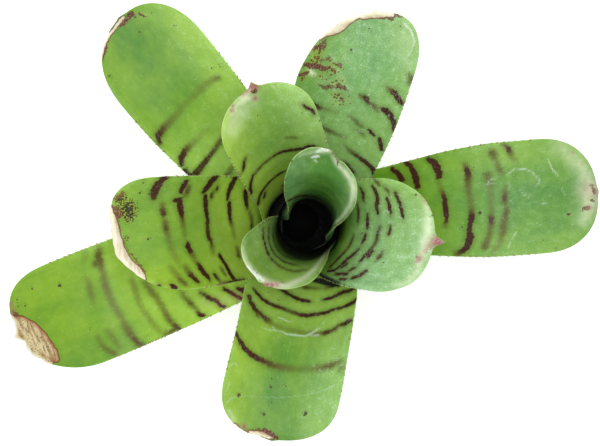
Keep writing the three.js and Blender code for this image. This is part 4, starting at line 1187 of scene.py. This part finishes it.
# The tenth leaf
# The longest leaf, low on the left. Yellow-green with soft reddish bands, a pink flush near the
# cup, and a tan dried tip behind a red-brown line.
grow_leaf(
    "leaf_10",
    LeafForm(
        layer=9, azimuth=199.8, swerve=1.3, path=[(25.8, 37), (52.8, 50), (83.4, 46)],
        hug=3, clasp=14, waist=28.4, width=29.2, gutter=(24, 40, 80),
        slant=6.8, rounding=17.5, point=1.5),
    lime=(.45, .36, .25), veil=(.02, 0, .01), foot=(1, .12), fray=.4,
    tan=1, notches=[(6, 5, -1.4)],
    bands=[
        [(-13.3, 74, .34, .48), (-11.6, 74.7, .54, .6), (-9.7, 75.1, .59, .6),
         (-7, 75.3, .49, .4), (-3.8, 75.8, .54, .48), (-1.7, 75.9, .59, .44),
         (1.3, 75.9, .54, .4), (3.8, 75.5, .54, .4), (6.2, 75.1, .46, .36), (8.8, 75, .59, .48),
         (10.7, 74.6, .54, .56), (13, 73.9, .49, .64), (14.6, 73, .44, .56)],
        [(-9.8, 75.9, .54, .56), (-10.8, 74.9, .39, .56)],
        [(-13.3, 77.3, .34, .24), (-11.6, 78.5, .29, .12)],
        [(-7.4, 79.6, .34, .24), (-5.2, 79.6, .58, .36), (-2.8, 80.1, .54, .36),
         (-.9, 80.2, .29, .24)],
        [(-2.2, 69.2, .44, .36), (.5, 69.3, .46, .36), (3.3, 69.6, .39, .32),
         (6.1, 69.4, .37, .28), (8.7, 68.8, .39, .32), (11.3, 68.2, .29, .28),
         (13.4, 67.5, .29, .28)],
        [(-.2, 66.1, .49, .4), (1.8, 65.5, .54, .48), (4.6, 64.9, .52, .44),
         (7.2, 64.5, .47, .44), (9.7, 64.4, .54, .52), (11.9, 64.1, .44, .56),
         (13.9, 63.2, .49, .72)],
        [(13.9, 66.9, .29, .48), (14.1, 65.7, .29, .56), (13.8, 63.9, .3, .64)],
        [(5.2, 58.1, .37, .3), (7.5, 57.6, .42, .5), (9.2, 57.1, .5, .6), (11, 56.4, .3, .4),
         (12.9, 56.3, .4, .85), (13.7, 55.2, .25, .9)],
        [(7.5, 53, .3, .6), (9.7, 51.5, .45, .8), (11.2, 50.2, .38, .7), (12.9, 49.8, .38, .9),
         (13.7, 48.9, .25, .9)],
        [(9, 46.3, .35, .85), (10.8, 45.1, .38, .85), (12.5, 44.4, .38, .85),
         (13.8, 43.6, .25, .9)],
        [(10.5, 42.8, .4, .9), (11.7, 41.9, .71, 1), (12.1, 40.7, .81, 1)],
        [(8.1, 82.4, .29, .28), (10.2, 82.4, .32, .4), (11.9, 81.3, .27, .48),
         (13.8, 79.8, .22, .52)],
        [(7.4, 79.7, .34, .28), (9.3, 79, .37, .36), (11.6, 78.5, .29, .28),
         (13.3, 78.1, .24, .24)],
    ],
    scars=[
        [(-6.3, 101.3, .41, .7), (-5.6, 100.8, .67, .9), (-5.2, 100.3, .41, .8)],
    ],
    specks=[(-8.1, 86.6, .49), (-10, 93.8, .28), (-6.6, 97.5, .26), (-8.9, 98.9, .21),
        (-7.1, 99.4, .18), (5.4, 83.7, .15)],
    dry=[
        [(-5.2, 102.5, .91, 1), (-4, 102.6, 1.81, 1), (-2.1, 100.9, 2.85, 1), (.4, 99.2, 3.23, 1),
         (3, 97.9, 3.1, 1), (5.8, 96.6, 2.45, 1), (7.5, 95.5, 1.81, 1), (9.2, 94.7, .9, 1)],
        [(-3.8, 102.8, 1.04, 1), (-.8, 103.3, 1.81, 1), (2.1, 102.3, 2.07, 1),
         (4.7, 100.4, 2.07, 1), (7.3, 98.7, 1.55, 1), (9, 96.6, 1.03, 1)],
    ],
    # Painted light: a faint lift near the cup where the fifth leaf shades it
    pale=[
        [(10.6, 53.5, 1.84, .09), (12, 47.7, 1.85, .12), (12.9, 42.6, 1.6, .12)],
    ],
    blush=[(-8.4, 101.3, .9, .63), (-6.6, 101.1, .9, .54), (13.1, 40.5, 2.4, .38),
        (12.7, 44.2, 2.4, .32), (12.2, 49, 2.6, .22), (11.4, 53.2, 2.4, .11)],
    rust=[(-1.1, 100.9, 2.3, .35), (3.8, 98.7, 2.3, .35)])

# The setting
# A plain white floor, soft studio light from above and a little from the upper left, and a camera
# that looks straight down into the cup from about 43 cm above the floor.
FLOOR_HALF_WIDTH = 3.0
ROLLER_MARKS_A_METRE = 60.0
CAMERA_PLACE = (0, -0.0003, 0.430)
CAMERA_LENS, CAMERA_SENSOR = 88.8, 36.0
LIGHTS_AIM = (0, 0, 0.05)


def white_paint():
    """Matt white paint, with the faintest unevenness of a roller. The eye gets an even white."""
    material, tree, shader = begin_material("matt_white_paint")
    place = node(tree, "ShaderNodeTexCoord").outputs["Object"]
    roller = node(tree, "ShaderNodeTexNoise",
                  {"Vector": place, "Scale": ROLLER_MARKS_A_METRE, "Detail": 3.0})
    paint = node(tree, "ShaderNodeMix", {0: roller, 6: linear("#f6f6f6"), 7: linear("#fafafa")},
                 data_type="RGBA")
    tree.links.new(paint.outputs[2], shader["Base Color"])
    shader["Roughness"].default_value = 0.9
    shader["Emission Color"].default_value = linear("#ffffff")
    shader["Emission Strength"].default_value = 0.38
    return material


ground = bmesh.new()
bmesh.ops.create_grid(ground, x_segments=8, y_segments=8, size=FLOOR_HALF_WIDTH)
floor_mesh = bpy.data.meshes.new("floor_sheet")
ground.to_mesh(floor_mesh)
ground.free()
floor = bpy.data.objects.new("floor", floor_mesh)
bpy.context.scene.collection.objects.link(floor)
floor.data.materials.append(white_paint())

# The room glows a little less from overhead than from its walls, so the leaves keep their shading
world = bpy.data.worlds.new("white_room")
bpy.context.scene.world = world
world.use_nodes = True
room = world.node_tree
sky = room.nodes["Background"]
sky.inputs[0].default_value = linear("#ffffff")
way = node(room, "ShaderNodeTexCoord").outputs["Generated"]
height = node(room, "ShaderNodeSeparateXYZ", {0: way}).outputs["Z"]
glow = node(room, "ShaderNodeMapRange", {0: height, 1: 0.55, 2: 0.92, 3: 0.42, 4: 0.30},
            interpolation_type="SMOOTHSTEP")
room.links.new(glow.outputs[0], sky.inputs[1])

for name, place, size, watts in (("softbox_above", (0.01, 0.02, 1.00), 0.45, 6.6),
                                 ("softbox_left", (-0.80, 0.60, 1.00), 1.1, 3.2)):
    lamp = bpy.data.lights.new(name, "AREA")
    lamp.shape, lamp.size, lamp.energy = "DISK", size, watts
    held = bpy.data.objects.new(name, lamp)
    held.location = place
    aim = Vector(LIGHTS_AIM) - Vector(place)
    held.rotation_euler = aim.to_track_quat("-Z", "Y").to_euler()
    held.visible_camera = False
    bpy.context.scene.collection.objects.link(held)

camera = bpy.data.cameras.new("camera")
camera.lens, camera.sensor_width = CAMERA_LENS, CAMERA_SENSOR
camera.clip_start = 0.01
eye = bpy.data.objects.new("camera", camera)
eye.location = CAMERA_PLACE
bpy.context.scene.collection.objects.link(eye)
bpy.context.scene.camera = eye
bpy.context.scene.view_settings.view_transform = "Standard"
